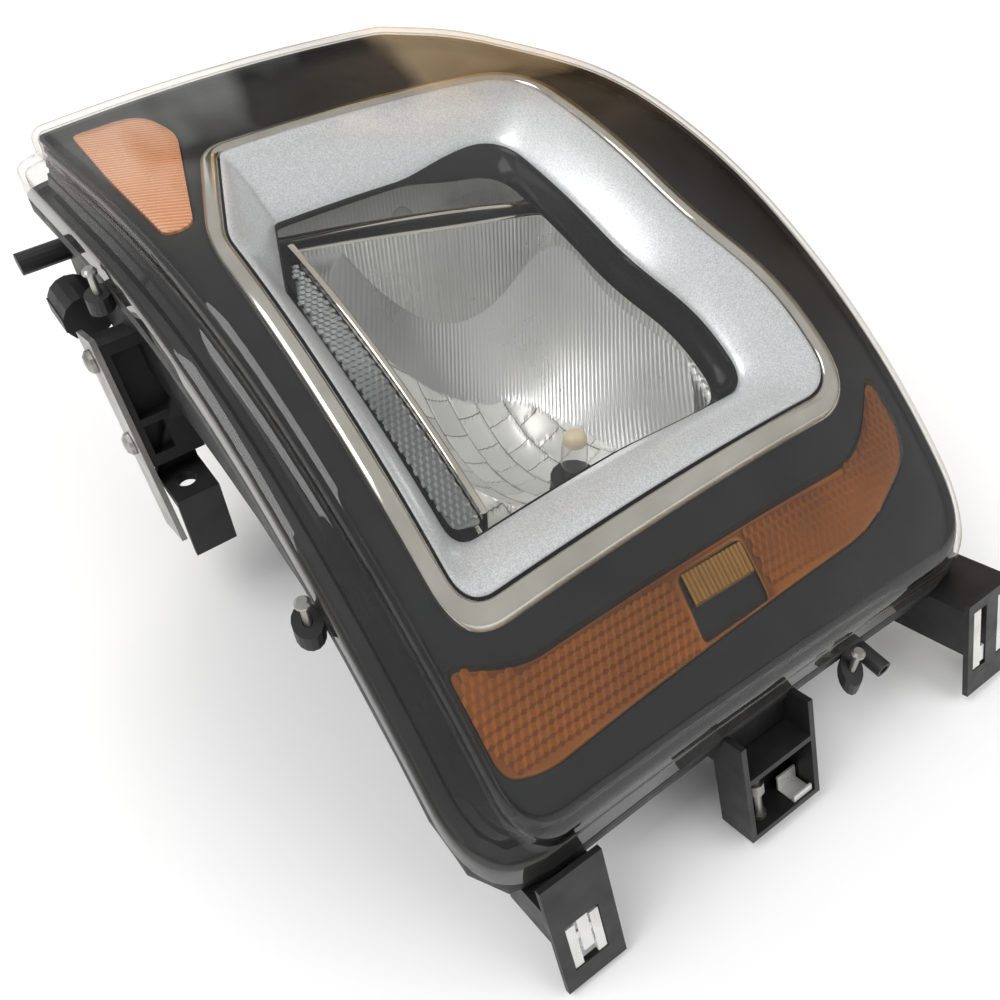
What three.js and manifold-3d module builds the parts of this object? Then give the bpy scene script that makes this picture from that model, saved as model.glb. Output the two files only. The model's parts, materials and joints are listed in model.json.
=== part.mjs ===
// Car headlight assembly, lying on its back with the lens up.
// Millimetres. +Z points out through the lens, +Y towards the inboard end,
// -Y towards the outboard (amber) end, -X is the side with the shoulder and the mounting ears.
// The origin is the centre of the bounding box's base.
import * as THREE from 'three';
import { mergeVertices } from 'three/addons/utils/BufferGeometryUtils.js';
import Module from 'manifold-3d';

const wasm = await Module();
wasm.setup();

// ---- driving dimensions -------------------------------------------------------------------
const CREST_Z = 235;        // top of the lens above the resting plane
const CREST_Y = 126;        // the lens is level inboard of this line and bends down outboard of it
const BEND_R = 420;         // bend radius of the lens along Y
const CROSS_FALL = 0.0004;  // fall of the lens across X, per mm squared
const CREST_X = -66;
const ROLL_X = 150;         // beyond this the lens rolls over towards +X
const ROLL_FALL = 0.008;
const ORIGIN_Y = -7.58;      // middle of the length, in the lens's own coordinates
const GAP = 0.3;            // clearance between pieces that touch
const SKIN = 3;             // moulded wall
const BAND_DEEP = 30;       // height of the lens shoulder band at the -X side
const BAND_TAPER = 0.055;   // the band gets shallower towards +X
const BACK_Z = 12;          // level rear wall of the housing
const BOWL = { x: 12, y: 22, halfX: 152, halfY: 214, flat: 0.46, rise: 0.7 };  // its rise towards the rim
const ABOVE = CREST_Z + 20; // a level clear of everything, for cutting tools
const CLEARING = 80;        // height of the tools that bore right through a wall

// depths below the outer surface of the lens
const MASK_DEEP = 9;
const MASK_THICK = 2.5;
const RING_TOP = 5;
const BEZEL_TOP = 6;
const BEZEL_DEEP = 32;
const INNER_DEEP = 41;
const AMBER_DEEP = 8;
const RIM_DEEP = 50;        // rim of the reflectors, clear of the inner bezel for the aiming tilt

// plan outlines, as [x, y, corner radius]
const LENS = [[-125, -193, 24], [167, -193, 34], [168, 20, 90], [158, 110, 70], [112, 187, 60],
  [70, 211, 10], [-139, 203, 8], [-126, 30, 200]];
const FLANGE = [[-147, -193.5, 36], [168, -193, 34], [168.4, 20, 90], [158.4, 110, 70], [112.3, 187.3, 60],
  [70, 211.4, 8], [-151, 202, 8], [-143, 30, 200]];
const OPENING = [[-109, -132, 24], [134, -121, 30], [135, -62, 34], [117, -12, 60], [115, 133, 38],
  [-77, 133, 14], [-106, 63, 16]];
const REFLECTOR = [[-66, -91, 14], [87, -84, 18], [93, -16, 80], [86, 60, 24], [30, 69, 30], [-60, 95, 8]];
const UPPER = [[-60, 106, 6], [76, 70, 8], [86, 84, 10], [74, 118, 14], [-50, 132, 10]];
const AMBER = [[-118, -132, 6], [-90, -144, 30], [118, -140, 30], [152, -110, 12], [151, -146, 24],
  [104, -166, 20], [-100, -175, 14], [-118, -170, 8]];
const WINDOW = [[-8, -146, 3], [-10, -169, 3], [31, -168, 3], [31, -145, 3]];
const CORNER = [[-120, 193, 4], [-84, 192, 16], [-77, 160, 22], [-85, 136, 16], [-104, 80, 8],
  [-118, 80, 6], [-121, 130, 60]];
const MARKER_LENS = [[-6, -147, 2], [-7.4, -158, 2], [29.6, -157.5, 2], [29.6, -146.5, 2]];
const STRIP = [[-78.5, -80, 4], [-65, -83, 3], [-65, 66, 3], [-68, 66, 3], [-78.5, 42, 10]];
const BLADE = [[-64.5, -83, 1], [-61.5, -83, 1], [-61.5, 76, 1], [-64.5, 76, 1]];
const DIVIDER = [[-66, 100.5, 2], [76, 64.5, 2], [77, 68, 2], [-64, 104.5, 2]];
const CARRIAGE = [[-72, -97, 16], [92, -90, 20], [99, -16, 80], [94, 72, 20], [80, 126, 14],
  [-54, 138, 10], [-68, 104, 10]];

// axes along Z, and other places that several pieces share
const LAMP = { x: 20, y: -42 };       // headlamp bulb
const HIGH = { x: 14, y: 102 };       // upper bulb
const TURN = { x: -98, y: 158 };      // turn-signal bulb
const MARKER = { x: 11, y: -152.5 };  // side-marker bulb
const ADJUST = { x: 108, y: -6 };     // aiming screw
const PIVOT = { x: -76, z: 126, ys: [-46, 58] };
const BALL = 5;                       // radius of the balls that the carriage turns on
const INLET = { x: -78, y: 8 };
const LUGS = [[-150.5, -84], [-151, 98], [-62, 211], [66, -199]];
const PADS = [[-60, -74], [92, -70], [-60, 92], [88, 92]];
const BOLT_EAR = { x: -146.5, y: 76, z: 90, hole: 5.5, thick: 6 };
const TAB_LEFT = [-109, -197, 72];
const TAB_MIDDLE = [5, -197, 67];
const TAB_RIGHT = [149.4, -205, 78];
const PLATE_TOP = [-160, 123, 161.5];
const PLATE_BOLTS = [-13, -60];       // drops of the two bolts below the plate's top
const LEAN = THREE.MathUtils.degToRad(18.8);        // outboard tabs lean out as they go back
const PLATE_LEAN = THREE.MathUtils.degToRad(21.3);

const lensZ = (x, y) => CREST_Z
  - (BEND_R - Math.sqrt(BEND_R ** 2 - Math.min(y - CREST_Y, 0) ** 2))
  - CROSS_FALL * (x - CREST_X) ** 2 - ROLL_FALL * Math.max(0, x - ROLL_X) ** 2;
const bandDeep = (x) => BAND_DEEP - BAND_TAPER * (x - FLANGE[0][0]);
const seamZ = (x, y) => lensZ(x, y) - bandDeep(x);
const backZ = (x, y) => {
  const reach = Math.hypot(((x - BOWL.x) / BOWL.halfX) ** 2, ((y - BOWL.y) / BOWL.halfY) ** 2) ** 0.5;
  const climb = Math.min(Math.max((reach - BOWL.flat) / (1 - BOWL.flat), 0), 1) ** 2;
  return BACK_Z + climb * (BOWL.rise * (seamZ(x, y) - SKIN) - BACK_Z);
};
const under = (depth) => (x, y) => lensZ(x, y) - depth;
const level = (z) => () => z;

// ---- solids -------------------------------------------------------------------------------
function solid(geometry) {
  geometry.deleteAttribute('normal');
  geometry.deleteAttribute('uv');
  const merged = mergeVertices(geometry, 1e-4);
  const corners = merged.index.array;
  const faces = [];
  for (let i = 0; i < corners.length; i += 3) {
    const [a, b, c] = corners.slice(i, i + 3);
    if (a !== b && b !== c && c !== a) faces.push(a, b, c);
  }
  return new wasm.Manifold(new wasm.Mesh({
    numProp: 3,
    vertProperties: new Float32Array(merged.attributes.position.array),
    triVerts: new Uint32Array(faces),
  }));
}

function place(geometry, [x, y, z], [rx, ry, rz] = [0, 0, 0]) {
  const turn = new THREE.Matrix4().makeRotationFromEuler(new THREE.Euler(rx, ry, rz));
  return geometry.applyMatrix4(turn.setPosition(x, y, z));
}

const box = ([x, y, z], at, turn) => solid(place(new THREE.BoxGeometry(x, y, z), at, turn));
const across = (from, to) => box(
  [to[0] - from[0], to[1] - from[1], to[2] - from[2]],
  [(from[0] + to[0]) / 2, (from[1] + to[1]) / 2, (from[2] + to[2]) / 2],
);
const UPRIGHT = [Math.PI / 2, 0, 0];
const drum = (radius, height, at, turn = UPRIGHT, sides = 16) =>
  solid(place(new THREE.CylinderGeometry(radius, radius, height, sides), at, turn));
const ball = (radius, at) => solid(place(new THREE.SphereGeometry(radius, 10, 7), at));
const lathe = (profile, at, turn = UPRIGHT, sides = 16) => solid(place(
  new THREE.LatheGeometry(profile.map(([r, h]) => new THREE.Vector2(r, h)), sides), at, turn,
));
const join = (first, ...rest) => rest.reduce((whole, piece) => whole.add(piece), first);
const cut = (first, ...rest) => rest.reduce((whole, piece) => whole.subtract(piece), first);

// Moves every side of an outline outwards by a distance.
function grow(corners, distance) {
  const count = corners.length;
  const side = (i) => {
    const [ax, ay] = corners[i];
    const [bx, by] = corners[(i + 1) % count];
    const length = Math.hypot(bx - ax, by - ay);
    const nx = (by - ay) / length;
    const ny = (ax - bx) / length;
    return { nx, ny, d: nx * ax + ny * ay };
  };
  const area = corners.reduce((sum, [x, y], i) => {
    const [nextX, nextY] = corners[(i + 1) % count];
    return sum + x * nextY - nextX * y;
  }, 0);
  const out = Math.sign(area) * distance;
  return corners.map(([, , radius], i) => {
    const a = side((i + count - 1) % count);
    const b = side(i);
    const det = a.nx * b.ny - a.ny * b.nx;
    const da = a.d + out;
    const db = b.d + out;
    const x = (da * b.ny - db * a.ny) / det;
    const y = (a.nx * db - b.nx * da) / det;
    return [x, y, Math.max(radius + distance, 2)];
  });
}

function outline(corners) {
  const shape = new THREE.Shape();
  corners.forEach(([x, y, radius], i) => {
    const corner = new THREE.Vector2(x, y);
    const [px, py] = corners[(i + corners.length - 1) % corners.length];
    const [nx, ny] = corners[(i + 1) % corners.length];
    const back = new THREE.Vector2(px, py).sub(corner);
    const ahead = new THREE.Vector2(nx, ny).sub(corner);
    const reach = Math.min(radius, back.length() * 0.45, ahead.length() * 0.45);
    const start = corner.clone().addScaledVector(back.normalize(), reach);
    const end = corner.clone().addScaledVector(ahead.normalize(), reach);
    if (i === 0) shape.moveTo(start.x, start.y);
    else shape.lineTo(start.x, start.y);
    shape.quadraticCurveTo(x, y, end.x, end.y);
  });
  shape.closePath();
  return shape;
}

const BELOW = -5;
const prism = (corners) => solid(new THREE.ExtrudeGeometry(
  outline(corners), { depth: ABOVE - BELOW, bevelEnabled: false, curveSegments: 3 },
).translate(0, 0, BELOW));

// A sheet between two height functions over a rectangle.
const THINNEST = 0.05;
function sheet([x0, x1, nx], [y0, y1, ny], top, bottom) {
  const geometry = new THREE.BoxGeometry(1, 1, 1, nx, ny, 1);
  const at = geometry.attributes.position;
  for (let i = 0; i < at.count; i += 1) {
    const x = x0 + (at.getX(i) + 0.5) * (x1 - x0);
    const y = y0 + (at.getY(i) + 0.5) * (y1 - y0);
    const low = bottom(x, y);
    at.setXYZ(i, x, y, at.getZ(i) > 0 ? Math.max(top(x, y), low + THINNEST) : low);
  }
  return solid(geometry);
}

const PLAN_X = [-180, 180, 9];
const PLAN_Y = [-206, 250, 13];
const wideSheet = (top, bottom) => sheet(PLAN_X, PLAN_Y, top, bottom);
const panel = (corners, depth, thick) => wideSheet(under(depth), under(depth + thick)).intersect(prism(corners));
const rim = (corners, width) => cut(prism(corners), prism(grow(corners, -width)));
const LUG_RADIUS = 6.5;
const lug = ([x, y], top, bottom) => drum(LUG_RADIUS, 2 * ABOVE, [x, y, 0]).intersect(wideSheet(top, bottom));
const band = (corners, width, top, bottom) => rim(corners, width).intersect(wideSheet(top, bottom));

// A sloping collar. The outline shrinks towards a point as it goes down under the lens, from
// [scale, depth] at the top to [scale, depth] at the bottom.
const SHRINK_TO = new THREE.Vector2(-38, 2);
const SPILL = 8;
const COLLAR_POINTS = 32;
function collar(corners, top, low, thick) {
  const points = outline(corners).getSpacedPoints(COLLAR_POINTS);
  points.pop();
  const slope = (low[0] - top[0]) / (low[1] - top[1]);
  const loft = (spill, inset) => {
    const ends = [[top[0] - slope * spill, top[1] - spill], [low[0] + slope * spill, low[1] + spill]];
    const geometry = new THREE.ExtrudeGeometry(new THREE.Shape(points), { depth: 1, bevelEnabled: false });
    const at = geometry.attributes.position;
    for (let i = 0; i < at.count; i += 1) {
      const [scale, depth] = ends[at.getZ(i) > 0.5 ? 0 : 1];
      const away = new THREE.Vector2(at.getX(i), at.getY(i)).sub(SHRINK_TO);
      away.setLength(away.length() * scale - inset).add(SHRINK_TO);
      at.setXYZ(i, away.x, away.y, lensZ(away.x, away.y) - depth);
    }
    return solid(geometry);
  };
  return cut(loft(0, 0), loft(SPILL, thick));
}

// ---- the scene ----------------------------------------------------------------------------
const headlight = new THREE.Group();
const finish = (color, roughness, metalness) => new THREE.MeshStandardMaterial({ color, roughness, metalness });
const BLACK = [0x131313, 0.55, 0];
const CHARCOAL = [0x393c3e, 0.4, 0.1];
const CHROME = [0xdcdad2, 0.08, 1];
const SILVER = [0xc6cacd, 0.38, 0.8];
const STEEL = [0x8f8f8a, 0.4, 1];
const AMBER_TINT = [0x9a5418, 0.2, 0];
const CLEAR = [0xdfe4e6, 0.05, 0];
const CREAM = [0xcfc3a8, 0.5, 0];

function meshOf(name, piece, look) {
  const { vertProperties, triVerts } = piece.getMesh();
  const geometry = new THREE.BufferGeometry();
  geometry.setAttribute('position', new THREE.BufferAttribute(new Float32Array(vertProperties), 3));
  geometry.setIndex(new THREE.BufferAttribute(new Uint32Array(triVerts), 1));
  geometry.computeVertexNormals();
  const mesh = new THREE.Mesh(geometry, finish(...look));
  mesh.name = name;
  return mesh;
}

// ---- lens, seal and the parts just under the lens --------------------------------------------
const LEDGE_AT = 0.5;          // the ledge's height as a share of the shoulder band
const LUG_THICK = 3;
const LENS_BORE = 2.3;
const ledgeTop = (x, y) => lensZ(x, y) - bandDeep(x) * LEDGE_AT;
const ledgeLow = (x, y) => ledgeTop(x, y) - SKIN;
const lower = (height, by) => (x, y) => height(x, y) - by;

function outerLens() {
  const face = panel(LENS, 0, SKIN);
  const upperWall = band(LENS, SKIN, under(SKIN / 2), ledgeLow);
  const ledge = cut(prism(FLANGE), prism(grow(LENS, -SKIN))).intersect(wideSheet(ledgeTop, ledgeLow));
  const lowerWall = band(FLANGE, SKIN, lower(ledgeTop, SKIN / 2), seamZ);
  const lugs = LUGS.map((spot) => lug(spot, lower(seamZ, -LUG_THICK), seamZ));
  const bores = LUGS.map(([x, y]) => drum(LENS_BORE, 10 * LUG_THICK, [x, y, seamZ(x, y)]));
  return cut(join(face, upperWall, ledge, lowerWall, ...lugs), ...bores);
}

const SEAL_THICK = 3;
const SEAL_WIDE = 5;
const sealTop = lower(seamZ, GAP);
const sealLow = lower(sealTop, SEAL_THICK);
const rimTop = lower(sealLow, GAP);
const lensSeal = () => band(FLANGE, SEAL_WIDE, sealTop, sealLow);

const MASK_INSET = 1.5;        // between the mask's edge and the lens's wall
const POCKET = 0.5;            // play around the ambers in their cut-outs
const RING_WIDE = 9;
const RING_SEAT = 4;           // how far the mask reaches in under the chrome ring
const mask = () => cut(
  panel(grow(LENS, -SKIN - MASK_INSET), MASK_DEEP, MASK_THICK),
  prism(grow(OPENING, -RING_SEAT)), prism(grow(AMBER, POCKET)), prism(grow(CORNER, POCKET)),
);
const chromeRing = () => band(OPENING, RING_WIDE, under(RING_TOP), under(MASK_DEEP - GAP));

const BEZEL_THICK = 2;
const BEZEL_SCALE = 0.75;      // how much narrower the opening is at the bezel's foot
const INNER_SCALE = 0.735;
const bezelEdge = grow(OPENING, -RING_WIDE - 3 * GAP);
const silverBezel = () => collar(bezelEdge, [1, BEZEL_TOP], [BEZEL_SCALE, BEZEL_DEEP], BEZEL_THICK);
const innerBezel = () => collar(
  bezelEdge, [BEZEL_SCALE, BEZEL_DEEP + 2 * GAP], [INNER_SCALE, INNER_DEEP], BEZEL_THICK,
);

const MARKER_THICK = 3.5;
const MARKER_PLATE = { deep: 12, thick: 2, hole: 8, inset: 0.6 };
const CORNER_THICK = 2.5;
const sideLens = () => cut(panel(AMBER, AMBER_DEEP, SKIN), prism(WINDOW));
const markerLens = () => panel(MARKER_LENS, AMBER_DEEP, MARKER_THICK);
const markerPlate = () => cut(
  panel(grow(WINDOW, -MARKER_PLATE.inset), MARKER_PLATE.deep, MARKER_PLATE.thick),
  drum(MARKER_PLATE.hole, CLEARING, [MARKER.x, MARKER.y, lensZ(MARKER.x, MARKER.y)]),
);
const cornerLens = () => panel(CORNER, AMBER_DEEP, CORNER_THICK);

// ---- strip, blade and divider inside the opening ---------------------------------------------
const sideStrip = () => panel(STRIP, 37, 2.5);
const sideBlade = () => panel(BLADE, 33, 13);
const dividerBar = () => panel(DIVIDER, RIM_DEEP - 2.5, 2.2);

// ---- reflector carriage ------------------------------------------------------------------------
const CUP = { x: 14, y: 2, halfX: 86, halfY: 100, low: 62, lip: 6 };  // bowl of the main reflector
const TROUGH = { lip: 5, dip: 22, half: 80 };                           // bowl of the upper one
const cupZ = (x, y) => {
  const q = ((x - CUP.x) / CUP.halfX) ** 2 + ((y - CUP.y) / CUP.halfY) ** 2;
  const lip = lensZ(x, y) - RIM_DEEP - CUP.lip;
  return Math.min(CUP.low + q * (lip - CUP.low), lip);
};
const troughZ = (x, y) => lensZ(x, y) - RIM_DEEP - TROUGH.lip
  - TROUGH.dip * (1 - ((x - HIGH.x) / TROUGH.half) ** 2);
const CUP_WALL = 2;
const LAMP_HOLE = 13;
const HIGH_HOLE = 8;

// A reflector: a bowl inside an outline, with an upright wall up to the rim, bored for its bulb.
function reflector(corners, span, bowlZ, rimDeep, { x, y }, hole) {
  const bowl = sheet(...span, bowlZ, lower(bowlZ, CUP_WALL)).intersect(prism(corners));
  const wall = rim(corners, CUP_WALL).intersect(sheet(...span, under(rimDeep), lower(bowlZ, CUP_WALL / 2)));
  return cut(join(bowl, wall), drum(hole, CLEARING, [x, y, bowlZ(x, y)]));
}
const mainReflector = () => reflector(
  REFLECTOR, [[-74, 100, 8], [-100, 106, 9]], cupZ, RIM_DEEP, LAMP, LAMP_HOLE,
);
const upperReflector = () => reflector(UPPER, [[-66, 90, 8], [60, 136, 3]], troughZ, RIM_DEEP, HIGH, HIGH_HOLE);

const FRAME = { deep: RIM_DEEP + 3, thick: 2.5, seat: 7.5, arm: 99.5 };
const BALL_PLAY = 0.5;
const NECK = BALL - 0.9;       // radius of the way that a ball's stem takes out of its seat

// The block that holds a ball, around the ball's centre, from X low to X high.
const seatBlock = (low, high, y) => across(
  [low, y - FRAME.seat, PIVOT.z - FRAME.seat], [high, y + FRAME.seat, PIVOT.z + FRAME.seat],
);

function carriageFrame() {
  const { seat, deep, arm: armX } = FRAME;
  const plate = cut(panel(CARRIAGE, deep, FRAME.thick), prism(grow(REFLECTOR, GAP)), prism(grow(UPPER, GAP)));
  const legs = PIVOT.ys.map((y) => join(
    across([PIVOT.x - seat, y - seat, PIVOT.z + seat - 1], [PIVOT.x + seat, y + seat, lensZ(PIVOT.x, y) - deep - 1]),
    seatBlock(PIVOT.x - seat, PIVOT.x + seat, y),
  ));
  const arm = join(
    across([armX - 4.5, ADJUST.y - seat, PIVOT.z + seat - 1], [ADJUST.x + seat, ADJUST.y + seat, PIVOT.z + 12]),
    across([armX - 4.5, ADJUST.y - seat, PIVOT.z + seat - 1],
      [armX, ADJUST.y + seat, lensZ(armX, ADJUST.y) - deep - 0.5]),
    seatBlock(ADJUST.x - seat, ADJUST.x + seat, ADJUST.y),
  );
  const seats = [...PIVOT.ys.map((y) => [PIVOT.x, y]), [ADJUST.x, ADJUST.y]];
  const hollows = seats.flatMap(([x, y]) => [
    ball(BALL + BALL_PLAY, [x, y, PIVOT.z]), drum(NECK, 2 * seat, [x, y, PIVOT.z - seat]),
  ]);
  return cut(join(plate, ...legs, arm), ...hollows);
}

const STEM = 2.6;
const COLLAR_HIGH = 4;
const stud = (x, y, from) => join(
  drum(STEM, PIVOT.z - from, [x, y, (PIVOT.z + from) / 2]),
  drum(BALL, COLLAR_HIGH, [x, y, from + COLLAR_HIGH / 2]),
  ball(BALL, [x, y, PIVOT.z]),
);

// ---- turned pieces along Z ----------------------------------------------------------------------
// A turned piece from its radius steps, as [radius, height] pairs from the bottom up.
const CAP_SIDES = 24;
const turned = ({ x, y }, steps, sides = 16) => {
  const profile = [[0, steps[0][1]], ...steps, [0, steps[steps.length - 1][1]]];
  return lathe(profile, [x, y, 0], UPRIGHT, sides);
};

// ---- housing --------------------------------------------------------------------------------------
// Boxes in a frame that hangs from a point and leans outboard; local Z is negative downwards.
const leaning = (origin, lean) => (from, to) => {
  const size = to.map((high, i) => high - from[i]);
  const middle = new THREE.Vector3(...to.map((high, i) => (high + from[i]) / 2));
  middle.applyAxisAngle(new THREE.Vector3(1, 0, 0), -lean).add(new THREE.Vector3(...origin));
  return box(size, middle.toArray(), [-lean, 0, 0]);
};
const leftTab = leaning(TAB_LEFT, LEAN);
const middleTab = leaning(TAB_MIDDLE, LEAN);
const rightTab = leaning(TAB_RIGHT, LEAN);
const plateFrame = leaning(PLATE_TOP, PLATE_LEAN);

const WALL_AT = -8;            // side wall of the housing, in from the flange's edge
const FLANGE_THICK = 4;
const WALL_TOP = -134;         // X where the shoulder side's brackets run into the wall

const LEFT_WINDOW = [[-10, -4, -62], [8, 1, -34]];
const RIGHT_SLOTS = [[-15, -5], [4, 14]];
const SLOT_DROP = [-62, -24];

function leftBracket() {
  const face = leftTab([-16, -SKIN, -73], [16, 0, -6]);
  const arm = leftTab([-16, -0.1, -40], [16, 30, -20]);
  return cut(join(face, arm), leftTab(...LEFT_WINDOW));
}

// An open box with a shelf: two cheeks, a back, a floor and the arm that carries it.
function middleBracket() {
  const [left, right, front, back, floor, top] = [-21, 24, -6, 14, -64, -4];
  const shelf = -25;
  return join(
    middleTab([left, front, floor], [left + SKIN, back, top]),
    middleTab([right - SKIN, front, floor], [right, back, top]),
    middleTab([left, back - SKIN, floor], [right, back, top]),
    middleTab([left, front, floor], [right, back, floor + SKIN]),
    middleTab([left, front, shelf - SKIN], [right, back, shelf]),
    middleTab([left, back - SKIN - 1, shelf + 1], [right, 30, top]),
  );
}

// A slotted face on two side walls and a top.
function rightBracket() {
  const [half, deep, low, high] = [19, 42, -50, -22];
  const walls = [-half, half - SKIN].map((x) => rightTab([x, -0.1, low], [x + SKIN, deep, high]));
  const slots = RIGHT_SLOTS.map(([from, to]) => rightTab([from, -4, SLOT_DROP[0]], [to, 1, SLOT_DROP[1]]));
  return cut(join(
    rightTab([-half, -SKIN, -77], [half, 0, -18]), ...walls,
    rightTab([-half, -0.1, high - SKIN], [half, deep, high]),
  ), ...slots);
}

// The block behind the steel plate, with two windows between its ribs.
const plateBlock = () => cut(
  plateFrame([1.8, -15, -72], [30, 15, -4]),
  plateFrame([5, -16, -66], [16, -4, -50]), plateFrame([5, -16, -46], [26, -4, -10]),
);

// The ear with the bolt hole: a shelf, a cheek on its outboard side and a gusset.
function boltEar() {
  const { x, y, z, thick } = BOLT_EAR;
  const out = x - 11;
  const gusset = new THREE.ExtrudeGeometry(
    outline([[out, z - 1, 1], [WALL_TOP, z - 1, 1], [WALL_TOP, z + 46, 1]]), { depth: SKIN, bevelEnabled: false },
  ).rotateX(Math.PI / 2).translate(0, y + 17, 0);
  return join(
    across([out, y - 14, z - thick], [WALL_TOP, y + 17, z]),
    across([out, y - 14, z - 42], [WALL_TOP, y - 14 + SKIN, z]),
    solid(gusset),
  );
}

const drumTab = () => join(
  across([-163, 160, 142], [WALL_TOP, 186, 150]), drum(13, 26, [-150, 173, 146], [0, 0, 0]),
);
const peg = () => drum(6, 28, [-154.4, 192, 170], [0, 0, Math.PI / 2]);

const PAD_RADIUS = 11;
const LAMP_PORT = 32;
const HIGH_PORT = 24;
const PORT_WALL = 4;
const TURN_BORE = 11.5;
const MARKER_BORE = 10;
const POST_TOP = 92;
const POST_RADIUS = 8;
const INLET_HOLE = [14, 9];
const SCREW_BORE = 2.2;
const AIM_BORE = 3.6;
const BOLT_SQUARE = 3.4;

function rearBosses() {
  const [halfX, halfY] = INLET_HOLE.map((half) => half + SKIN);
  return [
    ...PADS.map(([x, y]) => drum(PAD_RADIUS, 20, [x, y, 10])),
    drum(LAMP_PORT + PORT_WALL, BACK_Z, [LAMP.x, LAMP.y, BACK_Z]),
    drum(HIGH_PORT + PORT_WALL, BACK_Z, [HIGH.x, HIGH.y, BACK_Z]),
    drum(TURN_BORE + 5.5, 42, [TURN.x, TURN.y, 74]),
    drum(MARKER_BORE + 5, 30, [MARKER.x, MARKER.y, 45]),
    drum(AIM_BORE + 5.4, 14, [ADJUST.x, ADJUST.y, 23]),
    across([INLET.x - halfX, INLET.y - halfY, 8], [INLET.x + halfX, INLET.y + halfY, 24]),
  ];
}

function housingBores() {
  const [halfX, halfY] = INLET_HOLE;
  return [
    drum(LAMP_PORT, 40, [LAMP.x, LAMP.y, 10], UPRIGHT, CAP_SIDES),
    drum(HIGH_PORT, 40, [HIGH.x, HIGH.y, 10], UPRIGHT, CAP_SIDES),
    drum(TURN_BORE, CLEARING, [TURN.x, TURN.y, 78]),
    drum(MARKER_BORE, 60, [MARKER.x, MARKER.y, 45]),
    drum(AIM_BORE, 40, [ADJUST.x, ADJUST.y, 23]),
    drum(BOLT_EAR.hole, 20, [BOLT_EAR.x, BOLT_EAR.y, BOLT_EAR.z]),
    across([INLET.x - halfX, INLET.y - halfY, 0], [INLET.x + halfX, INLET.y + halfY, 40]),
    ...LUGS.map(([x, y]) => drum(SCREW_BORE, 40, [x, y, rimTop(x, y) - 4])),
    ...PLATE_BOLTS.map((drop) => plateFrame(
      [1, -BOLT_SQUARE, drop - BOLT_SQUARE], [13, BOLT_SQUARE, drop + BOLT_SQUARE],
    )),
  ];
}

function housingShell() {
  const tub = wideSheet(lower(rimTop, FLANGE_THICK - 1), backZ).intersect(prism(grow(FLANGE, WALL_AT)));
  const flange = prism(FLANGE).intersect(wideSheet(rimTop, lower(rimTop, FLANGE_THICK)));
  const lugs = LUGS.map((spot) => lug(spot, rimTop, lower(rimTop, 2 * FLANGE_THICK)));
  const brackets = [leftBracket(), middleBracket(), rightBracket(), plateBlock(), boltEar(), drumTab(), peg()];
  const cavity = wideSheet(level(ABOVE), lower(backZ, -SKIN)).intersect(prism(grow(FLANGE, WALL_AT - SKIN)));
  const foot = BACK_Z + SKIN + 2;
  const posts = PIVOT.ys.map((y) => drum(POST_RADIUS, POST_TOP - foot, [PIVOT.x, y, (POST_TOP + foot) / 2]));
  const aboveRim = prism(grow(FLANGE, GAP)).intersect(wideSheet(level(ABOVE), rimTop));
  const outer = join(tub, flange, ...lugs, ...rearBosses(), ...brackets);
  return cut(join(cut(outer, cavity), ...posts), ...housingBores(), aboveRim);
}

// ---- lamps and holders, as [radius, height] steps with the plug's block below ---------------------
const lampHolder = () => join(
  turned(LAMP, [[16, 57], [16, 63.5], [12.4, 63.5], [12.4, 84]]),
  across([LAMP.x - 10, LAMP.y - 8, 30], [LAMP.x + 10, LAMP.y + 8, 58]),
);
const lampGlass = () => turned(LAMP, [[9, 84.3], [9, 108], [8, 112]], 18);
const lampCap = () => turned(LAMP, [[8.2, 112.3], [8.6, 115], [6.5, 119], [3, 121]], 18);
const highHolder = () => join(
  turned(HIGH, [[11, 141], [11, 150.5], [7.6, 150.5], [7.6, 160]]),
  across([HIGH.x - 8, HIGH.y - 7, 120], [HIGH.x + 8, HIGH.y + 7, 142]),
);
const highGlass = () => turned(HIGH, [[6, 160.3], [6, 173], [3, 177]]);
const turnHolder = () => join(
  turned(TURN, [[15, 48], [15, 52.7], [11, 52.7], [11, 164], [8.6, 164], [8.6, 178]]),
  across([TURN.x - 7, TURN.y - 6, 34], [TURN.x + 7, TURN.y + 6, 49]),
);
const turnGlass = () => turned(TURN, [[7, 178.3], [8.5, 190], [6, 199], [2, 202]]);
const markerHolder = () => join(
  turned(MARKER, [[13, 25], [13, 29.7], [9.4, 29.7], [9.4, 90]]),
  across([MARKER.x - 6, MARKER.y - 6, 13], [MARKER.x + 6, MARKER.y + 6, 26]),
);
const markerGlass = () => turned(MARKER, [[5, 90.3], [5, 106], [3, 110]]);

const TURN_CUP = { deep: 16, dip: 42, halfX: 30, halfY: 62, rim: 12, hole: 9 };
const turnReflector = () => reflector(
  grow(CORNER, -1), [[-130, -66, 6], [62, 210, 8]],
  (x, y) => lensZ(x, y) - TURN_CUP.deep - TURN_CUP.dip
    * Math.max(0, 1 - ((x - TURN.x) / TURN_CUP.halfX) ** 2 - ((y - TURN.y) / TURN_CUP.halfY) ** 2),
  TURN_CUP.rim, TURN, TURN_CUP.hole,
);

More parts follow.
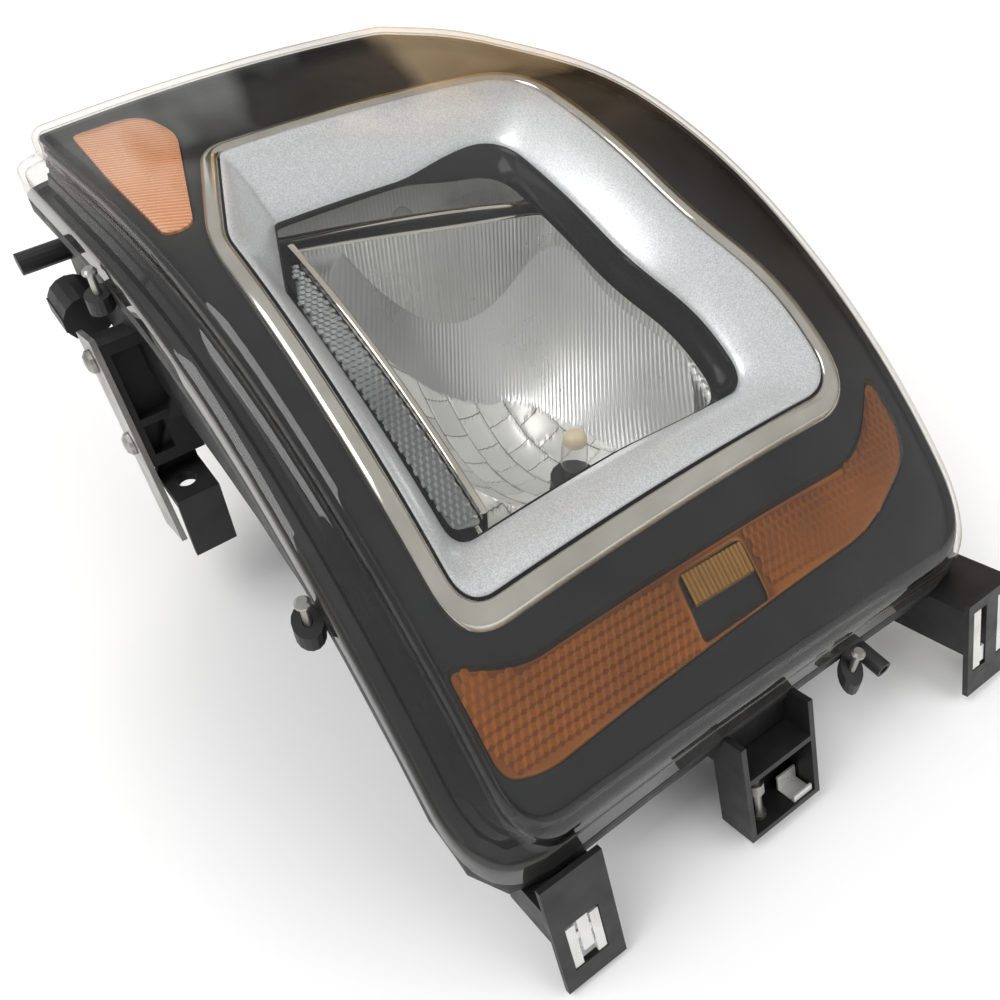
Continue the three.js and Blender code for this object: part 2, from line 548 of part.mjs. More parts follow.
// ---- service caps: a lid, a skirt inside the port and a grip bar ----------------------------------
const CAP = { low: 2.2, lid: 5.7, floor: 9.5, skirt: 17, overlap: 6, play: 0.4, wall: 3.1, grip: 3 };
const serviceCap = (at, port) => join(
  turned(at, [[port - 2, CAP.floor - SKIN], [port - 2, CAP.low], [port + CAP.overlap, CAP.low],
    [port + CAP.overlap, CAP.lid], [port - CAP.play, CAP.lid], [port - CAP.play, CAP.skirt],
    [port - CAP.play - CAP.wall, CAP.skirt], [port - CAP.play - CAP.wall, CAP.floor]], CAP_SIDES),
  across([at.x - port + 1.5, at.y - CAP.grip, CAP.low], [at.x + port - 1.5, at.y + CAP.grip, CAP.floor - 2.5]),
);

// ---- aiming screw and nut ---------------------------------------------------------------------------
const THREAD = 3;
const NUT = { radius: 6, low: 90, high: 114, stem: 127 };
const aimScrew = () => turned(ADJUST, [[8, 6], [8, 15.6], [THREAD, 15.6], [THREAD, 104]]);
const aimNut = () => cut(
  join(
    drum(NUT.radius, NUT.high - NUT.low, [ADJUST.x, ADJUST.y, (NUT.high + NUT.low) / 2]),
    drum(STEM, NUT.stem - NUT.high + 1, [ADJUST.x, ADJUST.y, (NUT.stem + NUT.high - 1) / 2]),
    ball(BALL, [ADJUST.x, ADJUST.y, PIVOT.z]),
  ),
  drum(THREAD + GAP, 21.5, [ADJUST.x, ADJUST.y, NUT.low + 10.5]),
);

// ---- steel plate and screws -------------------------------------------------------------------------
const PLATE = { thick: 3, half: 16, drop: 116 };
const mountPlate = () => cut(
  plateFrame([-PLATE.thick / 2, -PLATE.half, -PLATE.drop], [PLATE.thick / 2, PLATE.half, 0]),
  ...PLATE_BOLTS.map((z) => plateFrame([-5, -THREAD - GAP, z - THREAD - GAP], [5, THREAD + GAP, z + THREAD + GAP])),
);
function plateBolt(drop) {
  const sideways = [0, 0, Math.PI / 2];
  const head = lathe([[0, 0], [6.5, 0], [6.2, 2], [4, 3.8], [0, 4.4]], [0, 0, 0], sideways);
  const shank = drum(THREAD, 10, [5 - THINNEST, 0, 0], sideways, 12);
  const seat = new THREE.Vector3(-PLATE.thick / 2 - GAP, 0, drop);
  seat.applyAxisAngle(new THREE.Vector3(1, 0, 0), -PLATE_LEAN).add(new THREE.Vector3(...PLATE_TOP));
  return join(head, shank).transform(new THREE.Matrix4().makeRotationX(-PLATE_LEAN).setPosition(seat).elements);
}

// A screw down through a lens lug: shank, hexagon head's seat and its rounded top.
function lensScrew([x, y]) {
  const seat = seamZ(x, y) + 2 * LUG_THICK + 2 * GAP;
  return turned({ x, y }, [
    [1.9, rimTop(x, y) - 12], [1.9, seat], [3.6, seat], [3.6, seat + 1.2], [2.2, seat + 2.7],
  ], 12);
}

// ---- clips in the outboard tabs ---------------------------------------------------------------------
const CLIP_FRONT = -2.6;
const CLIP_BACK = -0.4;
const leftClip = () => join(
  ...[[-9.6, -5, -61.6, -36], [-3.6, 2, -55, -34.4], [3, 7.6, -61.6, -36]].map(
    ([from, to, low, high]) => leftTab([from, CLIP_FRONT, low], [to, CLIP_BACK, high]),
  ),
  leftTab([-6, CLIP_FRONT + 0.4, -46], [4, CLIP_BACK - 0.4, -42]),
);
const rightClip = ([from, to]) => join(
  rightTab([from + 0.4, CLIP_FRONT, SLOT_DROP[0] + 0.4], [to - 4, CLIP_BACK, SLOT_DROP[1] - 0.4]),
  rightTab([to - 4.5, CLIP_FRONT + 0.4, -60], [to - 0.4, CLIP_BACK - 0.4, -50]),
);
const middleClip = () => join(
  middleTab([8, -5, -60.7], [20, -4, -57]), middleTab([8, -5, -60.7], [20, 6, -60]),
  middleTab([8, 5, -60.7], [20, 6, -52]),
);
function middleScrew() {
  const rod = lathe([[0, -60.6], [4, -60.6], [4, -58], [2.6, -58], [2.6, -44], [4.4, -44], [4.4, -38],
    [2.6, -38], [2.6, -31], [5, -31], [5, -28.4], [0, -28.4]], [-9, 2, 0], UPRIGHT, 12);
  return rod.transform(new THREE.Matrix4().makeRotationX(-LEAN).setPosition(...TAB_MIDDLE).elements);
}

// ---- vent and power inlet -----------------------------------------------------------------------------
const VENT = { x: 80, z: 47, from: -185.8, to: -207.8, outer: 4.5, inner: 2.6, deep: 18 };
const ventTube = () => cut(
  drum(VENT.outer, VENT.from - VENT.to, [VENT.x, (VENT.from + VENT.to) / 2, VENT.z], [0, 0, 0]),
  drum(VENT.inner, VENT.deep, [VENT.x, VENT.to - 1 + VENT.deep / 2, VENT.z], [0, 0, 0]),
);
const INLET_WALL = 2.6;
function powerInlet() {
  const [halfX, halfY] = INLET_HOLE.map((half) => half - 0.4);
  return cut(
    across([INLET.x - halfX, INLET.y - halfY, 5], [INLET.x + halfX, INLET.y + halfY, 30]),
    across([INLET.x - halfX + INLET_WALL, INLET.y - halfY + INLET_WALL, 3],
      [INLET.x + halfX - INLET_WALL, INLET.y + halfY - INLET_WALL, 24]),
  );
}

// ---- assembly ------------------------------------------------------------------------------------
const lamp = new THREE.Group();
lamp.position.set(0, -ORIGIN_Y, 0);
headlight.add(lamp);
const put = (name, piece, look) => lamp.add(meshOf(name, piece, look));

put('housing_shell', housingShell(), BLACK);
put('outer_lens', outerLens(), CLEAR);
put('lens_seal', lensSeal(), BLACK);
put('inner_mask', mask(), CHARCOAL);
put('chrome_ring', chromeRing(), CHROME);
put('silver_bezel', silverBezel(), SILVER);
put('inner_bezel', innerBezel(), BLACK);
put('side_amber_lens', sideLens(), AMBER_TINT);
put('marker_lens', markerLens(), AMBER_TINT);
put('marker_plate', markerPlate(), CHARCOAL);
put('corner_amber_lens', cornerLens(), AMBER_TINT);
put('turn_reflector', turnReflector(), CHROME);
put('side_strip_lens', sideStrip(), CLEAR);
put('side_blade', sideBlade(), CHROME);
put('main_reflector', mainReflector(), CHROME);
put('upper_reflector', upperReflector(), CHROME);
put('divider_bar', dividerBar(), CHROME);
put('carriage_frame', carriageFrame(), BLACK);
PIVOT.ys.forEach((y, i) => put(`pivot_stud_${i + 1}`, stud(PIVOT.x, y, POST_TOP + GAP), STEEL));
put('aim_screw', aimScrew(), STEEL);
put('aim_nut', aimNut(), BLACK);
put('lamp_holder', lampHolder(), BLACK);
put('lamp_glass', lampGlass(), CLEAR);
put('lamp_end_cap', lampCap(), CREAM);
put('upper_lamp_holder', highHolder(), BLACK);
put('upper_lamp_glass', highGlass(), CLEAR);
put('turn_lamp_holder', turnHolder(), BLACK);
put('turn_lamp_glass', turnGlass(), AMBER_TINT);
put('marker_lamp_holder', markerHolder(), BLACK);
put('marker_lamp_glass', markerGlass(), CLEAR);
put('service_cap', serviceCap(LAMP, LAMP_PORT), BLACK);
put('upper_service_cap', serviceCap(HIGH, HIGH_PORT), BLACK);
put('power_inlet', powerInlet(), BLACK);
put('vent_tube', ventTube(), BLACK);
put('mount_plate', mountPlate(), STEEL);
PLATE_BOLTS.forEach((drop, i) => put(`plate_bolt_${i + 1}`, plateBolt(drop), STEEL));
LUGS.forEach((spot, i) => put(`lens_screw_${i + 1}`, lensScrew(spot), STEEL));
put('left_tab_clip', leftClip(), SILVER);
RIGHT_SLOTS.forEach((slot, i) => put(`right_tab_clip_${i + 1}`, rightClip(slot), SILVER));
put('middle_clip', middleClip(), SILVER);
put('middle_screw', middleScrew(), STEEL);

export default headlight;
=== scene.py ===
"""Car headlight assembly: its looks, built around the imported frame. Shapes are worked out in
millimetres in the lens's own coordinates and set down in metres in the row frame."""

import json
import math

import bpy
import numpy as np
from mathutils import Matrix, Vector
from mathutils.geometry import delaunay_2d_cdt

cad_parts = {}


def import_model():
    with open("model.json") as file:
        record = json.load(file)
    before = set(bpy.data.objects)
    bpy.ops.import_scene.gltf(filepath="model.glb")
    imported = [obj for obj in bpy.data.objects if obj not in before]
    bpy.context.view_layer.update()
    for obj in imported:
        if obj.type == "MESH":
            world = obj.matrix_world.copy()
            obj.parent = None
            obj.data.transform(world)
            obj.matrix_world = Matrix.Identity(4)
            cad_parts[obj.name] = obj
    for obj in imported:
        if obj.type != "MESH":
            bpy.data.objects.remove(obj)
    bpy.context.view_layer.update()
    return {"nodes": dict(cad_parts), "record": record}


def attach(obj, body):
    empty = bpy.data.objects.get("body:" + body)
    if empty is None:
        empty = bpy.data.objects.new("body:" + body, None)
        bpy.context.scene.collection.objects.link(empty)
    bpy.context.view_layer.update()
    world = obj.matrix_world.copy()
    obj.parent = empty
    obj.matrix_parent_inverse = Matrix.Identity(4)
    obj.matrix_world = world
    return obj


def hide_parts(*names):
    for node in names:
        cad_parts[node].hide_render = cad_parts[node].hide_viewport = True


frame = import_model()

MM = 0.001
CASE = "case"
CARRIAGE = "reflector_carriage"

# ---- the lens's surface and the plan outlines, as in the frame -------------------------------------
CREST_Z = 235.0
CREST_Y = 126.0
BEND_R = 420.0
CROSS_FALL = 0.0004
CREST_X = -66.0
ROLL_X = 150.0
ROLL_FALL = 0.008
BAND_DEEP = 30.0
BAND_TAPER = 0.055
BAND_FROM = -147.0
ORIGIN_Y = -7.58
SKIN = 3.0
GAP = 0.3

LENS = [[-125, -193, 24], [167, -193, 34], [168, 20, 90], [158, 110, 70], [112, 187, 60],
        [70, 211, 10], [-139, 203, 8], [-126, 30, 200]]
FLANGE = [[-147, -193.5, 36], [168, -193, 34], [168.4, 20, 90], [158.4, 110, 70], [112.3, 187.3, 60],
          [70, 211.4, 8], [-151, 202, 8], [-143, 30, 200]]
OPENING = [[-109, -132, 24], [134, -121, 30], [135, -62, 34], [117, -12, 60], [115, 133, 38],
           [-77, 133, 14], [-106, 63, 16]]
REFLECTOR = [[-66, -91, 14], [87, -84, 18], [93, -16, 80], [86, 60, 24], [30, 69, 30], [-60, 95, 8]]
UPPER = [[-60, 106, 6], [76, 70, 8], [86, 84, 10], [74, 118, 14], [-50, 132, 10]]
AMBER = [[-118, -132, 6], [-90, -144, 30], [118, -140, 30], [152, -110, 12], [151, -146, 24],
         [104, -166, 20], [-100, -175, 14], [-118, -170, 8]]
WINDOW = [[-8, -146, 3], [-10, -169, 3], [31, -168, 3], [31, -145, 3]]
MARKER_LENS = [[-6, -147, 2], [-7.4, -158, 2], [29.6, -157.5, 2], [29.6, -146.5, 2]]
CORNER = [[-120, 193, 4], [-84, 192, 16], [-77, 160, 22], [-85, 136, 16], [-104, 80, 8],
          [-118, 80, 6], [-121, 130, 60]]
STRIP = [[-78.5, -80, 4], [-65, -83, 3], [-65, 66, 3], [-68, 66, 3], [-78.5, 42, 10]]
BLADE = [[-64.5, -83, 1], [-61.5, -83, 1], [-61.5, 76, 1], [-64.5, 76, 1]]
DIVIDER = [[-66, 100.5, 2], [76, 64.5, 2], [77, 68, 2], [-64, 104.5, 2]]
SHRINK_TO = np.array([-38.0, 2.0])


def lens_z(x, y):
    """Height of the lens's outer surface."""
    drop = BEND_R - np.sqrt(BEND_R**2 - np.minimum(y - CREST_Y, 0.0) ** 2)
    roll = ROLL_FALL * np.maximum(0.0, x - ROLL_X) ** 2
    return CREST_Z - drop - CROSS_FALL * (x - CREST_X) ** 2 - roll


def band_deep(x):
    return BAND_DEEP - BAND_TAPER * (x - BAND_FROM)


def under(depth):
    return lambda x, y: lens_z(x, y) - depth


# ---- outlines --------------------------------------------------------------------------------------
def grow(corners, distance):
    """Every side of an outline moved outwards."""
    points = np.array([c[:2] for c in corners], float)
    ahead = np.roll(points, -1, 0) - points
    area = np.sum(points[:, 0] * np.roll(points[:, 1], -1) - np.roll(points[:, 0], -1) * points[:, 1])
    normal = np.stack([ahead[:, 1], -ahead[:, 0]], 1) / np.linalg.norm(ahead, axis=1)[:, None]
    offset = np.sum(normal * points, 1) + math.copysign(distance, area * distance)
    grown = []
    for i, corner in enumerate(corners):
        pair = np.array([normal[i - 1], normal[i]])
        x, y = np.linalg.solve(pair, np.array([offset[i - 1], offset[i]]))
        grown.append([x, y, max(corner[2] + distance, 2)])
    return grown


def outline(corners, arc=14, straight=16):
    """Points round an outline. Outlines with the same number of corners get matching points."""
    points = np.array([c[:2] for c in corners], float)
    ring = []
    count = len(corners)
    for i in range(count):
        corner = points[i]
        back, ahead = points[i - 1] - corner, points[(i + 1) % count] - corner
        reach = min(corners[i][2], np.linalg.norm(back) * 0.45, np.linalg.norm(ahead) * 0.45)
        start = corner + back / np.linalg.norm(back) * reach
        end = corner + ahead / np.linalg.norm(ahead) * reach
        if ring:
            gap = np.linspace(ring[-1], start, straight + 1)[1:-1]
            ring.extend(gap)
        for t in np.linspace(0, 1, arc):
            ring.append((1 - t) ** 2 * start + 2 * t * (1 - t) * corner + t * t * end)
    ring.extend(np.linspace(ring[-1], ring[0], straight + 1)[1:-1])
    return np.array(ring)


def inside(points, ring):
    """True for each point inside a closed ring."""
    x, y = points[:, 0], points[:, 1]
    hit = np.zeros(len(points), bool)
    for (ax, ay), (bx, by) in zip(ring, np.roll(ring, -1, 0)):
        crosses = (ay > y) != (by > y)
        if ay != by:
            hit ^= crosses & (x < (bx - ax) * (y - ay) / (by - ay) + ax)
    return hit


def near(points, ring):
    """Distance from each point to the nearest point of a ring."""
    return np.min(np.linalg.norm(points[:, None, :] - ring[None, :, :], axis=2), axis=1)


# ---- meshes ----------------------------------------------------------------------------------------
def piece(name, verts, faces, body, material, slot=None, replaces=(), sharp=35, bevel=0.0):
    """A mesh from millimetres in the lens's coordinates, riding on a CAD body."""
    placed = (np.asarray(verts, float) - [0, ORIGIN_Y, 0]) * MM
    mesh = bpy.data.meshes.new(name)
    mesh.from_pydata(placed.tolist(), [], [list(f) for f in faces])
    mesh.validate()
    mesh.materials.append(material)
    mesh.shade_smooth()
    mesh.set_sharp_from_angle(angle=math.radians(sharp))
    made = bpy.data.objects.new(name, mesh)
    bpy.context.scene.collection.objects.link(made)
    if bevel:
        softened = made.modifiers.new("bevel", "BEVEL")
        softened.width = bevel * MM
        softened.segments = 2
        softened.limit_method = "ANGLE"
        softened.angle_limit = math.radians(40)
        softened.harden_normals = True
    if replaces:
        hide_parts(*replaces)
    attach(made, body)
    return made


def grid_faces(rows, columns, wrap_columns=True, wrap_rows=False):
    """Quads between the points of a grid that is stored row by row."""
    faces = []
    for r in range(rows if wrap_rows else rows - 1):
        below, above = r * columns, (r + 1) % rows * columns
        for c in range(columns if wrap_columns else columns - 1):
            d = (c + 1) % columns
            faces.append((below + c, below + d, above + d, above + c))
    return faces


def facing_out(verts, faces):
    """The faces turned the other way if the closed mesh that they make is inside out."""
    verts = np.asarray(verts, float)
    volume = 0.0
    for face in faces:
        a, b, c = verts[face[0]], verts[face[1]], verts[face[2]]
        volume += np.dot(a, np.cross(b, c))
        if len(face) == 4:
            volume += np.dot(a, np.cross(c, verts[face[3]]))
    return faces if volume > 0 else [tuple(reversed(f)) for f in faces]


def loft(name, rings, body, material, closed=True, **kwargs):
    """Rings of matching points joined into a band, and round again to the first if it is closed."""
    count = len(rings[0])
    verts = np.concatenate(rings)
    faces = grid_faces(len(rings), count, wrap_rows=closed)
    if closed:
        faces = facing_out(verts, faces)
    return piece(name, verts, faces, body, material, **kwargs)


def lifted(ring, height):
    """A plan ring with heights from a function."""
    return np.column_stack([ring, height(ring[:, 0], ring[:, 1])])


def slab(name, outer, holes, top, bottom, body, material, step=6.0, edge=0.8, **kwargs):
    """A curved panel with a rounded upper edge, with holes, between two height functions."""
    rings = [outline(outer)] + [outline(h) for h in holes]
    inner = [outline(grow(outer, -edge))] + [outline(grow(h, edge)) for h in holes]
    loops = rings + inner
    low, high = rings[0].min(0), rings[0].max(0)
    xs, ys = np.arange(low[0], high[0], step), np.arange(low[1], high[1], step * 0.87)
    grid = np.array([(x + (j % 2) * step / 2, y) for j, y in enumerate(ys) for x in xs])
    keep = inside(grid, inner[0]) & (near(grid, inner[0]) > step * 0.4)
    for hole in inner[1:]:
        keep &= ~inside(grid, hole) & (near(grid, hole) > step * 0.4)
    plan, edges, start = [], [], 0
    for loop in loops:
        plan.extend(loop)
        edges.extend((start + i, start + (i + 1) % len(loop)) for i in range(len(loop)))
        start += len(loop)
    border = sum(len(r) for r in rings)
    plan.extend(grid[keep])
    points, _, tris, origin, _, _ = delaunay_2d_cdt([Vector(p) for p in plan], edges, [], 0, 1e-4)
    points = np.array([p[:] for p in points])
    centres = np.array([points[list(t)].mean(0) for t in tris])
    good = inside(centres, rings[0])
    for hole in rings[1:]:
        good &= ~inside(centres, hole)
    tris = [t for t, ok in zip(tris, good) if ok]
    on_border = np.array([bool(o) and min(o) < border for o in origin])
    heights = top(points[:, 0], points[:, 1]) - np.where(on_border, edge * 0.6, 0)
    floor = bottom(points[:, 0], points[:, 1])
    count = len(points)
    verts = np.concatenate([np.column_stack([points, heights]), np.column_stack([points, floor])])
    faces = [tuple(t) for t in tris] + [tuple(count + i for i in reversed(t)) for t in tris]
    seen = {}
    for t in tris:
        for a, b in ((t[0], t[1]), (t[1], t[2]), (t[2], t[0])):
            seen[(a, b)] = True
    for a, b in seen:
        if (b, a) not in seen:
            faces.append((b, a, count + a, count + b))
    return piece(name, verts, facing_out(verts, faces), body, material, **kwargs)


def lathe(name, centre, profile, body, material, sides=48, **kwargs):
    """A turned piece about a vertical line, from [radius, height] pairs from the bottom up."""
    angles = np.linspace(0, 2 * math.pi, sides, endpoint=False)
    rings = [np.column_stack([centre[0] + r * np.cos(angles), centre[1] + r * np.sin(angles),
                              np.full(sides, float(z))]) for r, z in profile]
    verts = np.concatenate(rings)
    faces = grid_faces(len(rings), sides)
    faces += [tuple(range(sides))[::-1], tuple(range(len(verts) - sides, len(verts)))]
    return piece(name, verts, facing_out_ngon(verts, faces), body, material, **kwargs)


def facing_out_ngon(verts, faces):
    fans = [(f[0], f[i], f[i + 1]) for f in faces for i in range(1, len(f) - 1)]
    return faces if facing_out(verts, fans) is fans else [tuple(reversed(f)) for f in faces]


# ---- materials -------------------------------------------------------------------------------------
class Look:
    """A node material under construction."""

    def __init__(self, name):
        self.material = bpy.data.materials.new(name)
        self.material.use_nodes = True
        self.tree = self.material.node_tree
        self.tree.nodes.clear()
        self.output = self.tree.nodes.new("ShaderNodeOutputMaterial")
        self.coords = self.tree.nodes.new("ShaderNodeTexCoord").outputs["Object"]

    def node(self, kind, settings=None, **inputs):
        made = self.tree.nodes.new(kind)
        for key, value in (settings or {}).items():
            setattr(made, key, value)
        for key, value in inputs.items():
            self.feed(made.inputs[key.replace("_", " ")], value)
        return made

    def feed(self, socket, value):
        if isinstance(value, bpy.types.NodeSocket):
            self.tree.links.new(value, socket)
        else:
            socket.default_value = value

    def noise(self, scale, detail=3.0, vector=None):
        made = self.node("ShaderNodeTexNoise", Vector=vector or self.coords, Scale=scale, Detail=detail)
        return made.outputs[0]

    def ranged(self, value, low, high, start=0.3, end=0.7):
        made = self.node("ShaderNodeMapRange", Value=value)
        for key, number in (("From Min", start), ("From Max", end), ("To Min", low), ("To Max", high)):
            made.inputs[key].default_value = number
        return made.outputs[0]

    def blend(self, share, first, second):
        made = self.tree.nodes.new("ShaderNodeMix")
        made.data_type = "RGBA"
        self.feed(made.inputs["Factor"], share)
        self.feed(made.inputs["A"], first)
        self.feed(made.inputs["B"], second)
        return made.outputs["Result"]

    def bump(self, height, strength, distance, normal=None):
        made = self.node("ShaderNodeBump", Height=height, Strength=strength, Distance=distance * MM)
        if normal:
            self.feed(made.inputs["Normal"], normal)
        return made.outputs[0]

    def surface(self, shader):
        self.feed(self.output.inputs["Surface"], shader)
        return self.material


def rgb(r, g, b):
    return (r, g, b, 1.0)


def moulded(name, dark, light, rough, metal=0.0, patch=40, grain=900, depth=0.03, coat=0.0, gloss=0.5):
    """A moulded, plated or painted surface: two close colours, uneven gloss and a fine grain."""
    look = Look(name)
    colour = look.blend(look.ranged(look.noise(patch), 0, 1), rgb(*dark), rgb(*light))
    uneven = look.ranged(look.noise(patch * 2.7), rough[0], rough[1])
    grain_height = look.noise(grain, 2.0)
    shader = look.node(
        "ShaderNodeBsdfPrincipled", Base_Color=colour, Roughness=uneven, Metallic=metal,
        Normal=look.bump(grain_height, 0.35, depth),
    )
    shader.inputs["Specular IOR Level"].default_value = gloss
    shader.inputs["Coat Weight"].default_value = coat
    shader.inputs["Coat Roughness"].default_value = 0.06
    return look.surface(shader.outputs[0])


EDGE_TONE = (0.42, 0.36, 0.30)   # share of red, green and blue left after a long path in the plastic


def pane(name, tint, mirror, rough=0.0, haze=0.02, haze_colour=(0.5, 0.5, 0.5), ripple=0.0):
    """Thin clear plastic: it lets light straight through and mirrors more at a slant, on its outer
    face only. It is darker at its edges and has a faint haze."""
    look = Look(name)
    wave = look.noise(14, 1.0)
    normal = look.bump(wave, 1.0, ripple) if ripple else None
    facing = look.node("ShaderNodeLayerWeight", Blend=0.5)
    slant = look.node("ShaderNodeMath", {"operation": "POWER"})
    look.feed(slant.inputs[0], facing.outputs["Facing"])
    slant.inputs[1].default_value = 4.0
    mirrored = look.ranged(slant.outputs[0], mirror, 0.85, 0.0, 1.0)
    front = look.node("ShaderNodeMath", {"operation": "MULTIPLY"})
    look.feed(front.inputs[0], mirrored)
    outside = look.node("ShaderNodeMath", {"operation": "SUBTRACT"})
    outside.inputs[0].default_value = 1.0
    look.feed(outside.inputs[1], look.node("ShaderNodeNewGeometry").outputs["Backfacing"])
    look.feed(front.inputs[1], outside.outputs[0])
    edge_tone = [c * e for c, e in zip(tint, EDGE_TONE)]
    long_path = look.ranged(facing.outputs["Facing"], 0, 1, 0.55, 0.95)
    through = look.node("ShaderNodeBsdfTransparent", Color=look.blend(long_path, rgb(*tint), rgb(*edge_tone)))
    gloss = look.ranged(look.noise(60), rough, rough + 0.02)
    shine = look.node("ShaderNodeBsdfGlossy", Color=rgb(1, 1, 1), Roughness=gloss)
    if normal:
        look.feed(shine.inputs["Normal"], normal)
    dust = look.node("ShaderNodeBsdfDiffuse", Color=rgb(*haze_colour))
    cloudy = look.ranged(look.noise(22), haze * 0.4, haze)
    body = look.node("ShaderNodeMixShader", Fac=cloudy)
    look.feed(body.inputs[1], through.outputs[0])
    look.feed(body.inputs[2], dust.outputs[0])
    whole = look.node("ShaderNodeMixShader", Fac=front.outputs[0])
    look.feed(whole.inputs[1], body.outputs[0])
    look.feed(whole.inputs[2], shine.outputs[0])
    return look.surface(whole.outputs[0])


def flaked_silver():
    """Satin silver paint with fine flakes."""
    look = Look("satin_silver")
    flake = look.node("ShaderNodeTexVoronoi", Vector=look.coords, Scale=2600.0).outputs["Color"]
    spark = look.node("ShaderNodeSeparateColor", Color=flake).outputs[0]
    base = look.blend(look.ranged(spark, 0, 1, 0.1, 0.95), rgb(0.58, 0.60, 0.62), rgb(0.86, 0.88, 0.91))
    tilt = look.bump(spark, 0.16, 0.05)
    shader = look.node(
        "ShaderNodeBsdfPrincipled", Base_Color=base, Metallic=0.5,
        Roughness=look.ranged(look.noise(30), 0.33, 0.42), Normal=tilt,
    )
    shader.inputs["Coat Weight"].default_value = 0.35
    return look.surface(shader.outputs[0])


def mirror_coat():
    """Vacuum-metallised coat, softened by the fine texture of the moulding."""
    look = Look("mirror_coat")
    tone = look.blend(look.ranged(look.noise(9), 0, 1), rgb(0.62, 0.63, 0.63), rgb(0.83, 0.83, 0.82))
    shader = look.node(
        "ShaderNodeBsdfPrincipled", Base_Color=tone, Metallic=0.85,
        Roughness=look.ranged(look.noise(25), 0.26, 0.34),
    )
    return look.surface(shader.outputs[0])


BLOCK = (15.0, 18.0)     # facet blocks in the lower part of the bowl, across X and along Y


def facet_coat_with_painted_shade():
    """Bright coat over the blocks, with painted shade along the grooves between them."""
    look = Look("facet_coat_with_painted_shade")
    parts = look.node("ShaderNodeSeparateXYZ", Vector=look.coords)
    swapped = look.node("ShaderNodeCombineXYZ", X=parts.outputs[1], Y=parts.outputs[0])
    # the mortar colour is painted shade in the grooves between the blocks
    blocks = look.node("ShaderNodeTexBrick", {"offset": 0.5}, Vector=swapped.outputs[0], Scale=1 / MM,
                       Color1=rgb(0.86, 0.86, 0.83), Color2=rgb(0.70, 0.70, 0.67),
                       Mortar=rgb(0.22, 0.22, 0.21), Mortar_Size=0.35, Mortar_Smooth=0.6,
                       Brick_Width=BLOCK[1], Row_Height=BLOCK[0])
    shader = look.node("ShaderNodeBsdfPrincipled", Base_Color=blocks.outputs["Color"], Metallic=0.35,
                       Roughness=look.ranged(look.noise(25), 0.28, 0.4))
    return look.surface(shader.outputs[0])


def prism_painted_light_look(name, dark, bright, metal, rough):
    """Reflex prisms with painted light: each small face's colour is lighter or darker by the way it leans
    towards one fixed direction, as if lit from there.
    """
    look = Look(name)
    facing = look.tree.nodes.new("ShaderNodeTexCoord").outputs["Normal"]
    # painted light and shade: the colour goes from dark to bright as each face turns towards a fixed
    # direction
    lean = look.node("ShaderNodeVectorMath", {"operation": "DOT_PRODUCT"})
    look.feed(lean.inputs[0], facing)
    lean.inputs[1].default_value = (0.8, -0.5, 0.0)
    share = look.ranged(lean.outputs["Value"], 0, 1, -0.45, 0.55)
    uneven = look.blend(look.ranged(look.noise(30), 0, 1), rgb(*bright), rgb(*[c * 0.7 for c in bright]))
    tone = look.blend(share, rgb(*dark), uneven)
    shader = look.node("ShaderNodeBsdfPrincipled", Base_Color=tone, Metallic=metal, Roughness=rough)
    shader.inputs["Coat Weight"].default_value = 0.3
    return look.surface(shader.outputs[0])


BLACK = moulded("black_plastic", (0.008, 0.008, 0.009), (0.016, 0.016, 0.017), (0.38, 0.55))
GLOSS_BLACK = moulded("gloss_black", (0.004, 0.004, 0.005), (0.008, 0.008, 0.009), (0.10, 0.2),
                      depth=0.001, gloss=0.2)
CHARCOAL = moulded("charcoal_plastic", (0.006, 0.006, 0.007), (0.011, 0.012, 0.012), (0.3, 0.42),
                   depth=0.006, gloss=0.25)
SEALANT = moulded("sealant", (0.012, 0.012, 0.012), (0.03, 0.03, 0.03), (0.5, 0.7), depth=0.08)
CHROME = moulded("chrome_plate", (0.66, 0.64, 0.57), (0.80, 0.78, 0.71), (0.05, 0.12), 1.0, depth=0.004)
ZINC = moulded("zinc_steel", (0.30, 0.29, 0.27), (0.5, 0.49, 0.46), (0.3, 0.5), 0.95, depth=0.05)
CLIP = moulded("bare_clip", (0.62, 0.61, 0.58), (0.85, 0.85, 0.83), (0.25, 0.4), 0.35, depth=0.03)
CREAM = moulded("cream_ceramic", (0.52, 0.43, 0.29), (0.66, 0.57, 0.42), (0.3, 0.45))
SILVER = flaked_silver()
MIRROR = mirror_coat()
FACET_GROOVE_SHADE = facet_coat_with_painted_shade()
UPPER_COAT = moulded("upper_coat", (0.78, 0.78, 0.76), (0.90, 0.90, 0.88), (0.3, 0.4), 0.1, depth=0.004)
LENS_CLEAR = pane("clear_lens", (0.98, 0.978, 0.972), 0.04, haze=0.006, ripple=0.12)
AMBER_CLEAR = pane("amber_lens", (0.97, 0.84, 0.60), 0.02, rough=0.04, haze=0.01,
                   haze_colour=(0.4, 0.14, 0.02))
SMOKE_CLEAR = pane("smoked_lens", (0.62, 0.63, 0.64), 0.04, rough=0.03, haze=0.05)
BULB = pane("bulb_glass", (0.93, 0.93, 0.93), 0.05, haze=0.03)
AMBER_GLASS = pane("amber_glass", (0.9, 0.5, 0.15), 0.05, haze=0.05)
# both prism looks carry painted light and shade, set by the lean of each face
PRISMS_PAINTED_LIGHT = prism_painted_light_look("amber_prisms", (0.07, 0.024, 0.004), (0.56, 0.28, 0.055), 0.6, 0.2)
STRIP_GREY_PAINTED_LIGHT = prism_painted_light_look("strip_grey", (0.035, 0.037, 0.04), (0.34, 0.35, 0.36), 0.5, 0.25)


# ---- lens ------------------------------------------------------------------------------------------
LENS_EDGE = 7.0       # radius over the lens's edge
FACE_SINK = 0.03      # keeps the fine surface inside the frame's coarser one
CENTRE = np.array([14.0, 22.0])
LEDGE_LIP = 2.6       # fall of the ledge's rounded outer lip


def ledge_z(x, y):
    return lens_z(x, y) - band_deep(x) * 0.5


